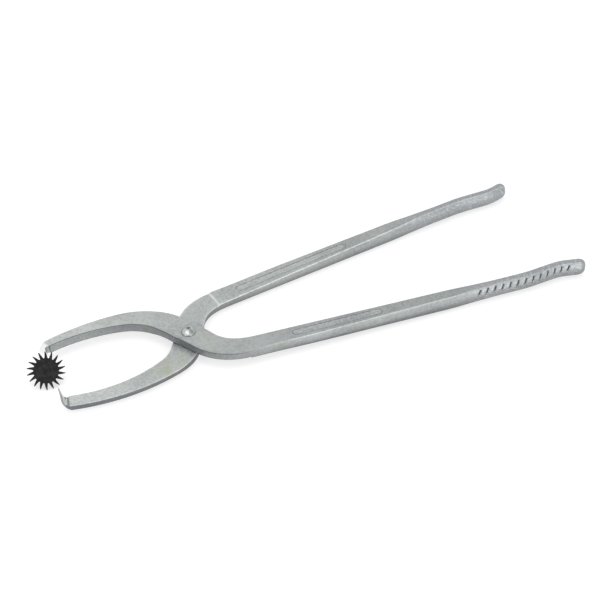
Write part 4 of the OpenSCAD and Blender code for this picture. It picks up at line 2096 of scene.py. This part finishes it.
@dataclass(frozen=True)
class SoftBox:
    """One square soft box.

    Attributes:
        name: Name of the lamp.
        place: Where it hangs, in metres.
        target: The point that it looks at.
        size: Side of the box.
        power: Power in watts.
    """

    name: str
    place: Place
    target: Place
    size: float
    power: float

    def hang(self) -> None:
        """Hang the soft box, out of the camera's sight."""
        light = bpy.data.lights.new(self.name, "AREA")
        light.shape, light.size, light.energy = "SQUARE", self.size, self.power
        lamp = shown(self.name, light)
        lamp.location = self.place
        lamp.rotation_euler = (Vector(self.target) - Vector(self.place)).to_track_quat("-Z", "Y").to_euler()
        lamp.visible_camera = False


@dataclass(frozen=True)
class Studio:
    """A plain pale floor and soft light.

    Attributes:
        floor_level: Level of the floor in metres, just under the lowest tooth.
        floor_size: Side of the floor in metres.
        floor_tone: Tone of the floor.
        lift: Light that the floor shows to the eye and in gloss.
        far_lift: More of it far out, where the lamps don't reach.
        far: Where that starts and is full, in metres from the joint.
        ambient: Strength of the world's light on the object.
        lamps: The soft boxes.
    """

    floor_level: float = -0.0065
    floor_size: float = 6.0
    floor_tone: float = 0.5
    lift: float = 0.6
    far_lift: float = 0.1
    far: tuple[float, float] = (0.6, 2.0)
    ambient: float = 0.62
    lamps: tuple[SoftBox, ...] = (
        SoftBox("overhead", (0.0, -0.05, 1.0), (0.02, 0.0, 0.0), 1.1, 4.5),
        SoftBox("left", (-1.0, -0.35, 0.55), (-0.04, 0.0, 0.0), 0.6, 2.5),
        SoftBox("front", (0.3, -1.15, 0.38), (0.08, 0.0, 0.0), 0.9, 4.0),
    )

    def build(self) -> None:
        """Set up the floor, the world, the lamps and plain view settings."""
        bpy.context.scene.view_settings.view_transform = "Standard"
        self.floor()
        self.world()
        for lamp in self.lamps:
            lamp.hang()

    def floor(self) -> None:
        """Lay the floor, which keeps the object's shadow."""
        half = self.floor_size / 2
        mesh = bpy.data.meshes.new("floor")
        corners = [(-half, -half), (half, -half), (half, half), (-half, half)]
        mesh.from_pydata([(x, y, self.floor_level) for x, y in corners], [], [(0, 1, 2, 3)])
        piece = shown("floor", mesh)
        shader = Shader("pale_floor")
        shader.set("Base Color", (self.floor_tone, self.floor_tone, self.floor_tone, 1))
        shader.set("Roughness", 0.9)
        shader.set("Specular IOR Level", 0.1)
        shader.set("Emission Color", (1, 1, 1, 1))
        lift = shader.spread(shader.away((0.0, 0.0, 0.0)), *self.far, self.lift, self.lift + self.far_lift)
        shader.set("Emission Strength", shader.times(shader.seen(), lift))
        mesh.materials.append(shader.material)

    def world(self) -> None:
        """Light the scene softly from all round and show white to the eye."""
        world = bpy.data.worlds.new("studio_world")
        bpy.context.scene.world = world
        world.use_nodes = True
        nodes = Nodes(world.node_tree)
        ranges = {"Value": nodes.seen(), "To Min": self.ambient, "To Max": 1.0}
        strength = nodes.make("ShaderNodeMapRange", ranges)["Result"]
        light = nodes.make("ShaderNodeBackground", {"Color": (1, 1, 1, 1), "Strength": strength})
        nodes.make("ShaderNodeOutputWorld", {0: light[0]})


@dataclass(frozen=True)
class PhotoCamera:
    """The camera at the photograph's place and angle.

    Attributes:
        place: Where it stands, in metres.
        azimuth: Direction of its sight over the floor, in degrees.
        elevation: Height of its sight over the floor, in degrees.
        roll: Roll about its sight, in degrees.
        lens: Focal length in millimetres.
        frame_width: Width of its frame in millimetres.
        sight: Nearest and farthest distance that it sees, in metres.
    """

    place: Place = (-0.226505, -0.630327, 0.602871)
    azimuth: float = -25.248
    elevation: float = 40.781
    roll: float = -0.407
    lens: float = 93.99
    frame_width: float = 36.0
    sight: tuple[float, float] = (0.01, 20.0)

    def build(self) -> Object:
        """Make the camera and set it as the scene's own.

        Returns:
            The camera object.
        """
        azimuth, elevation, roll = (math.radians(a) for a in (self.azimuth, self.elevation, self.roll))
        away, rise = math.cos(elevation), math.sin(elevation)
        back = Vector((math.sin(azimuth) * away, -math.cos(azimuth) * away, rise))
        level = Vector((math.cos(azimuth), math.sin(azimuth), 0.0))
        right = math.cos(roll) * level + math.sin(roll) * back.cross(level)
        axes = Matrix((right, back.cross(right), back)).transposed().to_4x4()
        data = bpy.data.cameras.new("photo_camera")
        data.lens, data.sensor_width = self.lens, self.frame_width
        data.clip_start, data.clip_end = self.sight
        camera = shown("photo_camera", data)
        camera.matrix_world = Matrix.Translation(self.place) @ axes
        bpy.context.scene.camera = camera
        return camera


def main() -> None:
    """Build the studio, the camera and the sub-assemblies in order."""
    logging.basicConfig(level=logging.INFO, format="%(name)s: %(message)s")
    PhotoCamera().build()
    Studio().build()
    place = WheelPlace()
    zinc = ZincPlate().material()
    black = BlackOxide().material()
    halves = (
        HookHalf(zinc, PolishedSteel().material()),
        StarHalf(place, zinc, BlackOxide("black_rivet_skin", gloss=0.36).material()),
        WheelHalf(place, black),
    )
    for half in halves:
        for piece in half.build():
            LOG.info("%s on %s: %d faces", piece.name, half.body, len(piece.data.polygons))


if __name__ == "__main__":
    main()
